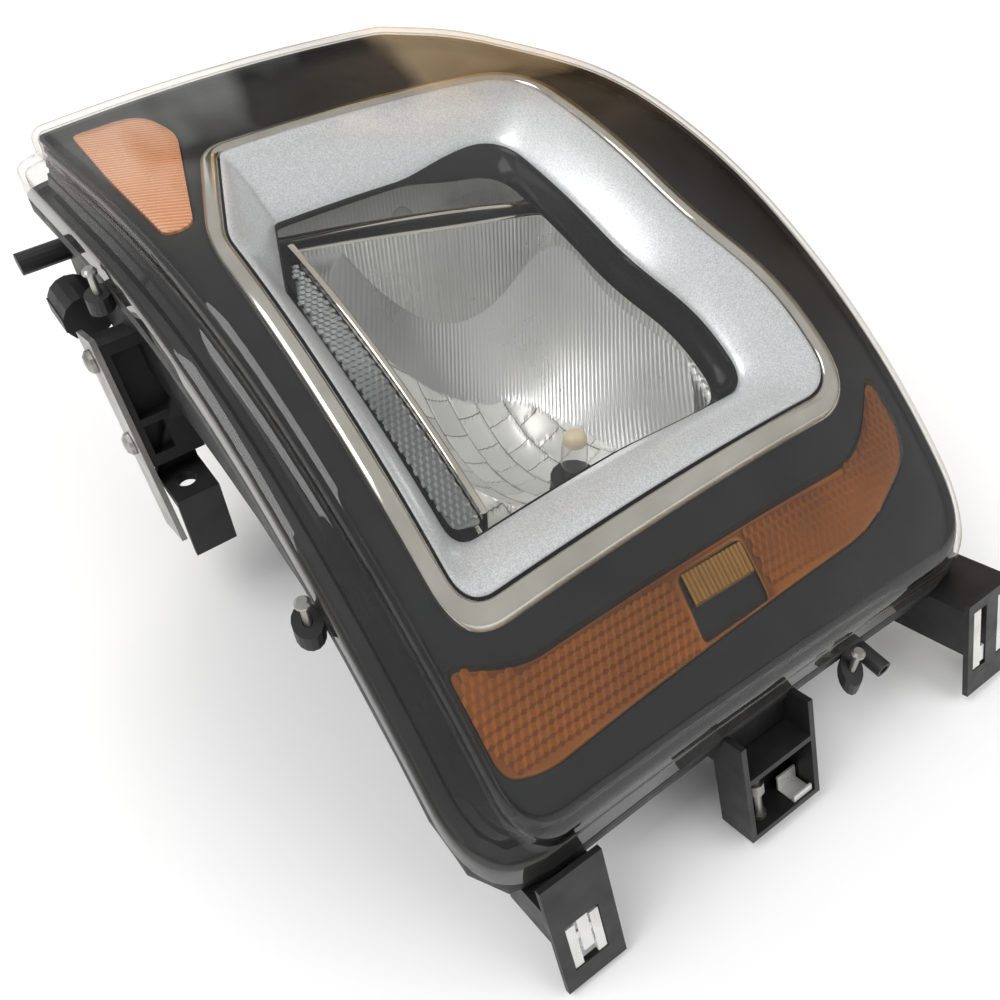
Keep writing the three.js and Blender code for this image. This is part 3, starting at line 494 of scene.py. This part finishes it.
def rounded_in(corners, radius, height, inset=0.0, steps=7):
    """Rings round a lens's edge, from its face out over a rounded corner to its wall."""
    rings = []
    for angle in np.linspace(math.pi / 2, 0, steps):
        ring = outline(grow(corners, -radius * (1 - math.cos(angle)) - inset))
        rings.append(lifted(ring, lambda x, y, a=angle: height(x, y) - radius * (1 - math.sin(a))))
    return rings


def dished(ring, height, count):
    """Rings from the middle of a face out to a ring."""
    return [lifted(CENTRE + (ring - CENTRE) * s, height) for s in np.linspace(0.01, 0.985, count)]


def wall_rings(inset):
    """The lens's wall below its rounded edge: a moulded step, the ledge, and the lower band."""
    def between(share):
        return lambda x, y: lens_z(x, y) - LENS_EDGE - (band_deep(x) * 0.5 - LENS_EDGE) * share

    rings = [lifted(outline(grow(LENS, -inset)), between(s)) for s in (0.3, 0.6)]
    flange, body = outline(grow(FLANGE, -inset)), outline(grow(LENS, -inset))
    shelf = [(0.04, -1.4), (0.12, -0.5), (0.3, 0.0), (0.62, 0.0), (0.86, 0.4), (0.97, 1.4), (1.0, LEDGE_LIP)]
    drop = 0.0 if inset == 0 else SKIN
    for share, fall in shelf:
        plan = body + (flange - body) * share
        rings.append(lifted(plan, lambda x, y, f=fall: ledge_z(x, y) - f - drop))
    for share in (0.45, 0.55, 0.62, 1.0):
        rings.append(lifted(flange, lambda x, y, s=share: ledge_z(x, y) - LEDGE_LIP - drop
                            - (band_deep(x) * 0.5 - LEDGE_LIP - drop) * s))
    return rings


def lens_rings(inset):
    """Every ring of one skin of the lens, from the middle of its face down to its seam."""
    height = under(inset + FACE_SINK)
    edge = rounded_in(LENS, LENS_EDGE - inset, height, inset)
    return dished(edge[0][:, :2], height, 34) + edge + wall_rings(inset)


def outer_lens():
    outer, inner = lens_rings(0.0), lens_rings(SKIN)
    shell = loft("outer_lens_shell", outer + inner[::-1], CASE, LENS_CLEAR, slot="clear_lens",
                 replaces=["outer_lens"], sharp=50)
    shell.visible_shadow = False


# ---- mask, chrome ring and bezels --------------------------------------------------------------------
MASK_DEEP = 9.0
SHOULDER_STEP = 1.6   # width of each step down the shoulder
SHOULDER = [(0.0, 0), (0.16, 0), (0.18, 1), (0.34, 1), (0.36, 0), (0.52, 0), (0.54, 1), (0.72, 1),
            (0.74, 0), (1, 0)]   # [share of the way down, on a step or not]


def inner_mask():
    """The dark panel round the opening, and the stepped glossy skirt from its edge down the shoulder."""
    edge = grow(LENS, -SKIN - 1.5)
    slab("mask_panel", edge, [grow(OPENING, -4), grow(AMBER, 0.5), grow(CORNER, 0.5)], under(MASK_DEEP),
         under(MASK_DEEP + 2.5), CASE, CHARCOAL, slot="charcoal_plastic", replaces=["inner_mask"])
    top, foot = outline(edge), outline(grow(FLANGE, -SKIN - 8))
    rings = [lifted(outline(grow(LENS, -4.1)), under(5.2)), lifted(outline(grow(LENS, -3.6)), under(6.4))]
    for share, step in SHOULDER:
        plan = top + (foot - top) * share
        away = plan - SHRINK_TO
        plan = plan - away / np.linalg.norm(away, axis=1)[:, None] * step * SHOULDER_STEP
        rings.append(lifted(plan, lambda x, y, s=share: lens_z(x, y) - MASK_DEEP - 0.6
                            - (band_deep(x) - MASK_DEEP - 4) * s))
    within = [np.column_stack([SHRINK_TO + (r[:, :2] - SHRINK_TO) * 0.985, r[:, 2]]) for r in rings]
    loft("mask_skirt", rings + within[::-1], CASE, GLOSS_BLACK, slot="gloss_black", sharp=25)


RING_WIDE = 9
RING_TOP = 5
RING_ROUND = [(0, -3.6), (0.04, -1.6), (0.14, -0.5), (0.3, 0), (0.62, 0), (0.84, -0.5), (0.96, -1.5),
              (1, -3.6)]      # [share of the width, height above the ring's crown]


def chrome_ring():
    """The bright rim round the opening: rounded over from the mask down to the bezel."""
    rings = [lifted(outline(grow(OPENING, -RING_WIDE * share)), under(RING_TOP - lift))
             for share, lift in RING_ROUND]
    loft("chrome_ring_plated", rings, CASE, CHROME, slot="chrome_plate", replaces=["chrome_ring"], sharp=70)


BEZEL_EDGE = grow(OPENING, -RING_WIDE - 3 * GAP)


def collar_rings(profiles, inset=0.0):
    """Rings of the opening's outline, shrunk and sunk as [scale, depth] pairs say: one list for the +X
    side and one for the rest, blended between."""
    base = outline(BEZEL_EDGE)
    away = base - SHRINK_TO
    length = np.linalg.norm(away, axis=1)[:, None]
    lean = np.clip((away[:, :1] / length - 0.45) / 0.3, 0, 1)
    share = lean * lean * (3 - 2 * lean)
    rings = []
    for (far_scale, far_depth), (scale, depth) in zip(*profiles):
        plan = SHRINK_TO + away * (scale + (far_scale - scale) * share - inset / length)
        sunk = depth + (far_depth - depth) * share[:, 0]
        rings.append(np.column_stack([plan, lens_z(plan[:, 0], plan[:, 1]) - sunk]))
    return rings


SATIN_TOP = [(1, 6.6), (0.997, 6.1), (0.985, 6.2), (0.95, 8.2), (0.9, 12.6), (0.85, 17.8)]
SATIN_FAR = SATIN_TOP + [(0.81, 22.6), (0.797, 24.6), (0.793, 26)]
SATIN_NEAR = SATIN_TOP + [(0.8, 24.2), (0.762, 29), (0.752, 31.8)]
GLOSS_FAR = [(0.792, 26.6), (0.788, 28.6), (0.764, 34), (0.742, 38), (0.737, 41)]
GLOSS_NEAR = [(0.751, 32.4), (0.7505, 32.8), (0.75, 33.4), (0.7495, 34), (0.749, 34.6)]


def silver_bezel():
    """The wide satin collar that slopes down into the opening."""
    sides = (SATIN_FAR, SATIN_NEAR)
    rings = collar_rings(sides) + [r - [0, 0, 1.4] for r in collar_rings(sides, 0.6)][::-1]
    loft("silver_bezel_satin", rings, CASE, SILVER, slot="satin_silver", replaces=["silver_bezel"], sharp=60)


def inner_bezel():
    """The glossy black collar below the satin one, wider on the +X side."""
    sides = (GLOSS_FAR, GLOSS_NEAR)
    rings = collar_rings(sides) + [r - [0, 0, 0.4] for r in collar_rings(sides, 1.4)][::-1]
    loft("inner_bezel_gloss", rings, CASE, GLOSS_BLACK, slot="gloss_black", replaces=["inner_bezel"],
         sharp=60)


# ---- reflex prisms and ambers ------------------------------------------------------------------------
def prism_field(name, corners, depth, pitch, material, slot, height=0.9):
    """Corner-cube prisms over an outline: hexagons, each of three tilted faces."""
    ring = outline(grow(corners, -1.2))
    low, high = ring.min(0), ring.max(0)
    side = pitch / math.sqrt(3)
    verts, faces, known = [], [], {}

    def vertex(x, y, lift):
        key = (round(x, 2), round(y, 2))
        if key not in known:
            known[key] = len(verts)
            verts.append((x, y, float(lens_z(x, y)) - depth + lift))
        return known[key]

    rows = int((high[1] - low[1]) / (side * 1.5)) + 2
    columns = int((high[0] - low[0]) / pitch) + 2
    for j in range(rows):
        for i in range(columns):
            x = low[0] + (i + (j % 2) / 2) * pitch
            y = low[1] + j * side * 1.5
            if not inside(np.array([[x, y]]), ring)[0]:
                continue
            centre = vertex(x, y, -height)
            rim = [vertex(x + side * math.sin(a), y + side * math.cos(a), 0.0 if k % 2 else -height * 0.5)
                   for k, a in enumerate(np.arange(6) * math.pi / 3)]
            faces += [(centre, rim[k], rim[k + 1], rim[(k + 2) % 6]) for k in (0, 2, 4)]
    faces = [tuple(reversed(f)) for f in faces]
    piece(name, verts, faces, CASE, material, slot=slot, sharp=5)


AMBER_LEFT = [[-117, -133, 6], [-90, -145, 30], [-10, -144.5, 2], [-12, -170.5, 2], [-100, -174, 14],
              [-117, -169, 8]]
AMBER_RIGHT = [[34, -142, 2], [118, -141, 30], [151, -111, 12], [150, -146, 24], [104, -165, 20],
               [34, -168, 2]]


def side_ambers():
    """The amber cover either side of the window, with reflex prisms and a backing under it."""
    slab("side_amber_cover", AMBER, [WINDOW], under(8), under(9.4), CASE, AMBER_CLEAR, slot="amber_lens",
         replaces=["side_amber_lens"])
    for name, field in (("left", AMBER_LEFT), ("right", AMBER_RIGHT)):
        prism_field(f"side_amber_prisms_{name}", field, 9.6, 4.1, PRISMS_PAINTED_LIGHT, "amber_lens")
    slab("side_amber_backing", grow(AMBER, -0.4), [WINDOW], under(10.9), under(11.5), CASE, PRISMS_PAINTED_LIGHT,
         slot="amber_lens")


def marker():
    """The fluted amber block in the window, over its dark plate."""
    ring = outline(MARKER_LENS)
    xs = np.arange(-6.6, 29.2, 0.25)
    verts = []
    low, high = ring[:, 1].min() + 0.4, ring[:, 1].max() - 0.4
    rows = np.linspace(low, high, 8)
    for y in rows:
        for x in xs:
            flute = abs(math.sin(x * math.pi / 2.4)) * 0.7
            verts.append((x, y, float(lens_z(x, y)) - 8.2 - 0.8 + flute))
    count = len(verts)
    verts += [(x, y, z - 2.4) for x, y, z in verts]
    n, m = len(rows), len(xs)
    top = grid_faces(n, m, wrap_columns=False)
    faces = top + [tuple(count + i for i in reversed(f)) for f in top]
    rim = list(range(m)) + [r * m + m - 1 for r in range(1, n)]
    rim += [(n - 1) * m + i for i in range(m - 2, -1, -1)] + [r * m for r in range(n - 2, 0, -1)]
    for a, b in zip(rim, rim[1:] + rim[:1]):
        faces.append((b, a, count + a, count + b))
    piece("marker_lens_fluted", verts, facing_out(verts, faces), CASE, PRISMS_PAINTED_LIGHT, slot="amber_lens",
          replaces=["marker_lens"], sharp=40)
    slab("marker_plate_dark", grow(WINDOW, -0.6), [], under(12), under(14), CASE, CHARCOAL,
         slot="charcoal_plastic", replaces=["marker_plate"])


def corner_amber_rib_shade_look():
    """Warm amber with fine parallel ribs; its colour is darker in the rib troughs and lighter on their
    crests, painted shade and light.
    """
    look = Look("corner_amber")
    turned = look.node("ShaderNodeMapping", Vector=look.coords)
    turned.inputs["Rotation"].default_value = (0, 0, math.radians(28))
    wave = look.node("ShaderNodeTexWave", {"bands_direction": "Y"}, Vector=turned.outputs[0], Scale=130.0)
    ribs = wave.outputs["Fac"]
    # painted shade and light: the colour follows the ribs, darker in their troughs and lighter on their
    # crests
    tone = look.blend(ribs, rgb(0.50, 0.19, 0.07), rgb(0.78, 0.37, 0.18))
    shader = look.node("ShaderNodeBsdfPrincipled", Base_Color=tone,
                       Roughness=look.ranged(look.noise(30), 0.25, 0.35), Normal=look.bump(ribs, 0.8, 0.4))
    shader.inputs["Coat Weight"].default_value = 0.6
    return look.surface(shader.outputs[0])


def corner_amber():
    slab("corner_amber_ribbed", CORNER, [], under(8), under(10.5), CASE, corner_amber_rib_shade_look(),
         slot="amber_lens", replaces=["corner_amber_lens"])


# ---- strip, blade and divider ------------------------------------------------------------------------
def side_strip():
    slab("side_strip_base", STRIP, [], under(38.4), under(39.4), CASE, STRIP_GREY_PAINTED_LIGHT, slot="smoked_lens",
         replaces=["side_strip_lens"])
    prism_field("side_strip_prisms", grow(STRIP, 0.6), 37.4, 3.2, STRIP_GREY_PAINTED_LIGHT, "smoked_lens", 0.8)


def side_blade():
    slab("side_blade_chrome", BLADE, [], under(33), under(46), CASE, CHROME, edge=0.7, slot="chrome_plate",
         replaces=["side_blade"])


def divider_bar():
    slab("divider_bar_chrome", DIVIDER, [], under(47.5), under(49.7), CARRIAGE, CHROME, edge=0.7,
         slot="chrome_plate", replaces=["divider_bar"])


# ---- reflectors --------------------------------------------------------------------------------------
RIM_DEEP = 50.0
FLUTE_TURN = math.radians(35.8)   # heading of the flutes
FLUTE_PITCH = 2.1
FLUTE_DEEP = 0.2
WALL_STEP = 0.4                   # spacing of points round the upright wall
WALL_FLUTE = 0.35
BOWL_ROWS = 90
BOWL_THICK = 1.6
LAMP = (20, -42)
HIGH = (14, 102)
TURN = (-98, 158)


def cup_z(x, y):
    q = ((x - 14) / 86) ** 2 + ((y - 2) / 100) ** 2
    lip = lens_z(x, y) - RIM_DEEP - 6
    return np.minimum(62 + q * (lip - 62), lip)


def trough_z(x, y):
    return lens_z(x, y) - RIM_DEEP - 5 - 22 * (1 - ((x - 14) / 80) ** 2)


def span_of(ring, u):
    """Lowest and highest V where the line at U crosses a ring."""
    hits = []
    for (au, av), (bu, bv) in zip(ring, np.roll(ring, -1, 0)):
        if (au > u) != (bu > u):
            hits.append(av + (bv - av) * (u - au) / (bu - au))
    return (min(hits), max(hits)) if len(hits) > 1 else None


def facets(x, y):
    """Shallow blocks in the lower part of the bowl, each a little dished and stepped from the next."""
    p = x / BLOCK[0]
    q = (y - ORIGIN_Y) / BLOCK[1] + np.where(np.floor(p) % 2 == 0, 0.5, 0.0)
    fp, fq = p - np.floor(p) - 0.5, q - np.floor(q) - 0.5
    tilt = np.sin(np.floor(p) * 2.1 + np.floor(q) * 4.7)
    groove = np.where(np.maximum(np.abs(fp), np.abs(fq)) > 0.46, -0.8, 0.0)
    return 1.6 * (fp**2 + fq**2) + tilt * (0.5 + 0.8 * fp) + groove


FACET_EDGE = [[-80, 66, 4], [-18, 55, 10], [17, 42, 14], [39, 31, 12], [50, -5, 14], [49, -28, 10],
              [46, -62, 8], [44, -110, 4], [-80, -110, 4]]


def bowl(name, corners, height, body, hole, replaces, pitch, patch=None, coat=MIRROR):
    """A reflector: a fluted bowl whose columns follow the flutes, with its upright wall to the rim."""
    c, s = math.cos(FLUTE_TURN), math.sin(FLUTE_TURN)
    ring = outline(grow(corners, -0.2))
    turned = np.column_stack([ring[:, 0] * c - ring[:, 1] * s, ring[:, 0] * s + ring[:, 1] * c])
    us = np.arange(turned[:, 0].min() + 0.3, turned[:, 0].max() - 0.3, pitch / 6)
    grid = []
    for u in us:
        low, high = span_of(turned, u)
        grid.append(np.column_stack([np.full(BOWL_ROWS, u), np.linspace(low, high, BOWL_ROWS)]))
    uv = np.array(grid)
    u, v = uv[..., 0], uv[..., 1]
    x, y = u * c + v * s, -u * s + v * c
    z = height(x, y)
    eps = 0.5
    slope = np.sqrt(1 + ((height(x + eps, y) - z) / eps) ** 2 + ((height(x, y + eps) - z) / eps) ** 2)
    flute = -FLUTE_DEEP * np.abs(np.cos(u * math.pi / pitch)) * slope
    flat = np.column_stack([x.ravel(), y.ravel()])
    if patch:
        within = inside(flat, outline(patch)).reshape(x.shape)
        z = np.where(within, z + facets(x, y), z + flute)
    else:
        z = z + flute
    count = x.size
    verts = np.concatenate([np.column_stack([flat, z.ravel() - drop]) for drop in (0, BOWL_THICK)])
    top = grid_faces(len(us), BOWL_ROWS, wrap_columns=False)
    middle = np.array(hole[:2])
    open_ring = [f for f in top if np.linalg.norm(flat[list(f)].mean(0) - middle) > hole[2]]
    centres = np.array([flat[list(f)].mean(0) for f in open_ring])
    faceted = inside(centres, outline(patch)) if patch else np.zeros(len(open_ring), bool)
    for label, chosen, material in (("fluted", ~faceted, coat), ("faceted", faceted, FACET_GROOVE_SHADE)):
        sheet = [f for f, wanted in zip(open_ring, chosen) if wanted]
        if not sheet:
            continue
        faces = sheet + [tuple(count + i for i in reversed(f)) for f in sheet]
        seen = {(a, b) for f in sheet for a, b in zip(f, f[1:] + f[:1])}
        faces += [(b, a, count + a, count + b) for a, b in sorted(seen) if (b, a) not in seen]
        used = sorted({i for f in faces for i in f})
        renumbered = dict(zip(used, range(len(used))))
        faces = [tuple(renumbered[i] for i in f) for f in faces]
        piece(f"{name}_{label}", verts[used], facing_out(verts[used], faces), body, material,
              slot="mirror_coat", replaces=replaces if label == "fluted" else (), sharp=28)
    fluted_wall(name, corners, height, body, pitch, coat)


def fluted_wall(name, corners, height, body, pitch, coat):
    """The upright wall round a bowl, with flutes that carry on from the bowl's, and a bright lip on top."""
    ring = outline(corners)
    lengths = np.r_[0, np.cumsum(np.linalg.norm(np.roll(ring, -1, 0) - ring, axis=1))]
    spots = np.linspace(0, lengths[-1], int(lengths[-1] / WALL_STEP), endpoint=False)
    closed = np.vstack([ring, ring[:1]])
    plan = np.column_stack([np.interp(spots, lengths, closed[:, k]) for k in (0, 1)])
    tangent = np.roll(plan, -1, 0) - np.roll(plan, 1, 0)
    inward = np.column_stack([-tangent[:, 1], tangent[:, 0]]) / np.linalg.norm(tangent, axis=1)[:, None]
    middle = plan.mean(0)
    inward *= np.sign(np.sum(inward * (middle - plan), axis=1).mean())
    u = plan[:, 0] * math.cos(FLUTE_TURN) - plan[:, 1] * math.sin(FLUTE_TURN)
    face = plan + inward * (0.5 + WALL_FLUTE * np.abs(np.cos(u * math.pi / pitch)))[:, None]
    foot = height(plan[:, 0], plan[:, 1]) - 0.6
    head = lens_z(plan[:, 0], plan[:, 1]) - RIM_DEEP - 1.2
    wall = [np.column_stack([face, foot + (head - foot) * t]) for t in np.linspace(0, 1, 5)]
    wall += [np.column_stack([plan, foot + (head - foot) * t]) for t in (1.0, 0.0)]
    loft(f"{name}_wall", wall, body, coat, slot="mirror_coat", sharp=28)
    lip = [lifted(outline(grow(corners, -inset)), under(RIM_DEEP + fall))
           for inset, fall in ((0.0, 1.0), (0.1, 0.3), (0.5, 0.0), (1.3, 0.0), (1.7, 0.3), (1.8, 1.0))]
    loft(f"{name}_lip", lip, body, CHROME, slot="chrome_plate", sharp=60)


def reflectors():
    bowl("main_reflector_bowl", REFLECTOR, cup_z, CARRIAGE, (*LAMP, 13), ["main_reflector"], FLUTE_PITCH,
         FACET_EDGE)
    bowl("upper_reflector_bowl", UPPER, trough_z, CARRIAGE, (*HIGH, 8), ["upper_reflector"], FLUTE_PITCH,
         coat=UPPER_COAT)


# ---- lamps -------------------------------------------------------------------------------------------
def lamps():
    """The parts of the bulbs that show, as [radius, height] profiles."""
    lathe("lamp_glass_tube", LAMP, [(6.6, 84.3), (7, 85), (7, 104), (6.6, 107.4), (6, 109)], "main_lamp",
          BULB, slot="bulb_glass", replaces=["lamp_glass"])
    lathe("lamp_end_cap_round", LAMP, [(5.6, 108.4), (6.3, 109.3), (6.2, 111.4), (5.6, 113.4), (4.2, 115.0),
                                       (2.0, 115.6)], "main_lamp", CREAM, slot="cream_ceramic",
          replaces=["lamp_end_cap"])
    lathe("upper_lamp_tube", HIGH, [(5.8, 160.3), (6, 161), (6, 171), (5, 174.6), (2.6, 177)], "upper_lamp",
          BULB, slot="bulb_glass", replaces=["upper_lamp_glass"])
    lathe("turn_lamp_tube", TURN, [(7, 178.3), (8.2, 184), (8.5, 190), (7.6, 196), (5.4, 200), (2, 202)],
          "turn_lamp", AMBER_GLASS, slot="amber_glass", replaces=["turn_lamp_glass"])


# ---- the frame's own nodes ---------------------------------------------------------------------------
KEPT_LOOKS = {
    "black_plastic": BLACK, "gloss_black": GLOSS_BLACK, "charcoal_plastic": CHARCOAL, "sealant": SEALANT,
    "chrome_plate": CHROME, "satin_silver": SILVER, "mirror_coat": MIRROR, "zinc_steel": ZINC,
    "bare_clip": CLIP, "cream_ceramic": CREAM, "clear_lens": LENS_CLEAR, "amber_lens": AMBER_CLEAR,
    "smoked_lens": SMOKE_CLEAR, "bulb_glass": BULB, "amber_glass": AMBER_GLASS,
}


def dress_frame():
    """Each CAD node that still shows gets its slot's material and softened edges."""
    slots = {part["node"]: part["material_slot"] for part in frame["record"]["subparts"]}
    for name, node in frame["nodes"].items():
        for index in range(len(node.material_slots)):
            node.material_slots[index].link = "OBJECT"
            node.material_slots[index].material = KEPT_LOOKS[slots[name]]
        softened = node.modifiers.new("bevel", "BEVEL")
        softened.width = 0.5 * MM
        softened.segments = 2
        softened.limit_method = "ANGLE"
        softened.angle_limit = math.radians(40)
        softened.harden_normals = True


# ---- stage, in metres --------------------------------------------------------------------------------
BOARD_GLOW = 2.6
SOFT_FROM = 0.6          # share of a board's half-width at which its edge starts to fade
FLOOR_HALF = 6.0


def board(name, half_x, half_y):
    """A level rectangle about its own middle, with its object linked to the scene."""
    mesh = bpy.data.meshes.new(name)
    corners = [(-half_x, -half_y, 0), (half_x, -half_y, 0), (half_x, half_y, 0), (-half_x, half_y, 0)]
    mesh.from_pydata(corners, [], [(0, 1, 2, 3)])
    made = bpy.data.objects.new(name, mesh)
    bpy.context.scene.collection.objects.link(made)
    return made


def aimed(centre, aim):
    """A placing at a centre, with -Z towards a point."""
    turn = (Vector(aim) - Vector(centre)).to_track_quat("-Z", "Y")
    return Matrix.Translation(centre) @ turn.to_matrix().to_4x4()


def floor():
    made = board("floor", FLOOR_HALF, FLOOR_HALF)
    look = Look("floor")
    tone = look.blend(look.ranged(look.noise(2), 0, 1), rgb(0.93, 0.93, 0.93), rgb(0.95, 0.95, 0.95))
    shader = look.node("ShaderNodeBsdfPrincipled", Base_Color=tone, Roughness=0.9)
    made.data.materials.append(look.surface(shader.outputs[0]))


def card(name, centre, aim, size, stops):
    """A softly edged glowing board that only reflections see, with bands of colour from left to right."""
    w, h = size[0] / 2, size[1] / 2
    made = board(name, w, h)
    look = Look(name)
    parts = look.node("ShaderNodeSeparateXYZ", Vector=look.coords)
    warp = look.ranged(look.noise(1.6), -0.18, 0.18, 0.25, 0.75)
    across = look.node("ShaderNodeMath", {"operation": "ADD"})
    look.feed(across.inputs[0], look.ranged(parts.outputs[0], 1.0, 0.0, -w, w))
    look.feed(across.inputs[1], warp)
    ramp = look.node("ShaderNodeValToRGB", Fac=across.outputs[0])
    elements = ramp.color_ramp.elements
    while len(elements) < len(stops):
        elements.new(0.5)
    for element, (place, colour) in zip(elements, stops):
        element.position = place
        element.color = rgb(*colour)
    shares = []
    for axis, half in ((0, w), (1, h)):
        off_middle = look.node("ShaderNodeMath", {"operation": "ABSOLUTE"})
        look.feed(off_middle.inputs[0], parts.outputs[axis])
        shares.append(look.ranged(off_middle.outputs[0], 1.0, 0.0, half * SOFT_FROM, half))
    share = look.node("ShaderNodeMath", {"operation": "MULTIPLY"})
    look.feed(share.inputs[0], shares[0])
    look.feed(share.inputs[1], shares[1])
    mixed = look.node("ShaderNodeMixShader", Fac=share.outputs[0])
    look.feed(mixed.inputs[1], look.node("ShaderNodeBsdfTransparent").outputs[0])
    glow = look.node("ShaderNodeEmission", Color=ramp.outputs[0], Strength=BOARD_GLOW)
    look.feed(mixed.inputs[2], glow.outputs[0])
    made.data.materials.append(look.surface(mixed.outputs[0]))
    made.matrix_world = aimed(centre, aim)
    made.visible_camera = False
    made.visible_diffuse = False
    made.visible_shadow = False


def lamp_light(name, centre, size, power, colour=(1, 1, 1), shows=True):
    """A square soft light aimed at the part, seen or not seen in reflections."""
    light = bpy.data.lights.new(name, "AREA")
    light.energy = power
    light.size = size
    light.color = colour
    made = bpy.data.objects.new(name, light)
    made.visible_glossy = shows
    bpy.context.scene.collection.objects.link(made)
    made.matrix_world = aimed(centre, (0, 0, 0.1))


def world():
    made = bpy.data.worlds.new("studio")
    bpy.context.scene.world = made
    made.use_nodes = True
    back = made.node_tree.nodes["Background"]
    back.inputs["Color"].default_value = rgb(1.0, 1.0, 1.0)
    back.inputs["Strength"].default_value = 0.55


def camera():
    lens = bpy.data.cameras.new("camera")
    lens.lens = 36.0
    lens.sensor_width = 36.0
    lens.clip_end = 50
    made = bpy.data.objects.new("camera", lens)
    bpy.context.scene.collection.objects.link(made)
    right = Vector((0.8104, -0.5848, -0.0298))
    up = Vector((0.4432, 0.5793, 0.6836))
    back = right.cross(up).normalized()
    right = up.cross(back).normalized()
    turn = Matrix((right, up.normalized(), back)).transposed().to_4x4()
    made.matrix_world = Matrix.Translation((-0.2191, -0.31842, 0.4612)) @ turn
    bpy.context.scene.camera = made


FAR_BANDS = [
    (0.0, (0.42, 0.42, 0.41)), (0.24, (0.36, 0.36, 0.35)), (0.33, (0.03, 0.03, 0.03)),
    (0.45, (0.05, 0.04, 0.03)), (0.53, (0.45, 0.33, 0.2)), (0.64, (0.3, 0.2, 0.1)),
    (0.74, (0.05, 0.03, 0.015)), (1.0, (0.12, 0.08, 0.04)),
]
SIDE_BANDS = [
    (0.0, (0.12, 0.08, 0.04)), (0.4, (0.03, 0.02, 0.012)), (0.7, (0.1, 0.075, 0.05)),
    (1.0, (0.16, 0.15, 0.14)),
]


def stage():
    floor()
    world()
    camera()
    lamp_light("key", (-1.2, 0.3, 1.9), 1.4, 26)
    lamp_light("fill", (0.9, -1.3, 1.6), 1.6, 16, shows=False)
    lamp_light("rim", (0.6, 1.6, 1.2), 1.0, 12, (1, 0.95, 0.88), shows=False)
    card("far_board", (1.0, 1.73, 0.75), (0, 0, 0.2), (2.6, 1.7), FAR_BANDS)
    card("side_board", (1.96, 0.35, 0.7), (0, 0, 0.2), (2.4, 1.9), SIDE_BANDS)
    bpy.context.scene.view_settings.view_transform = "Standard"


outer_lens()
inner_mask()
chrome_ring()
silver_bezel()
inner_bezel()
side_ambers()
marker()
corner_amber()
side_strip()
side_blade()
divider_bar()
reflectors()
lamps()
dress_frame()
stage()
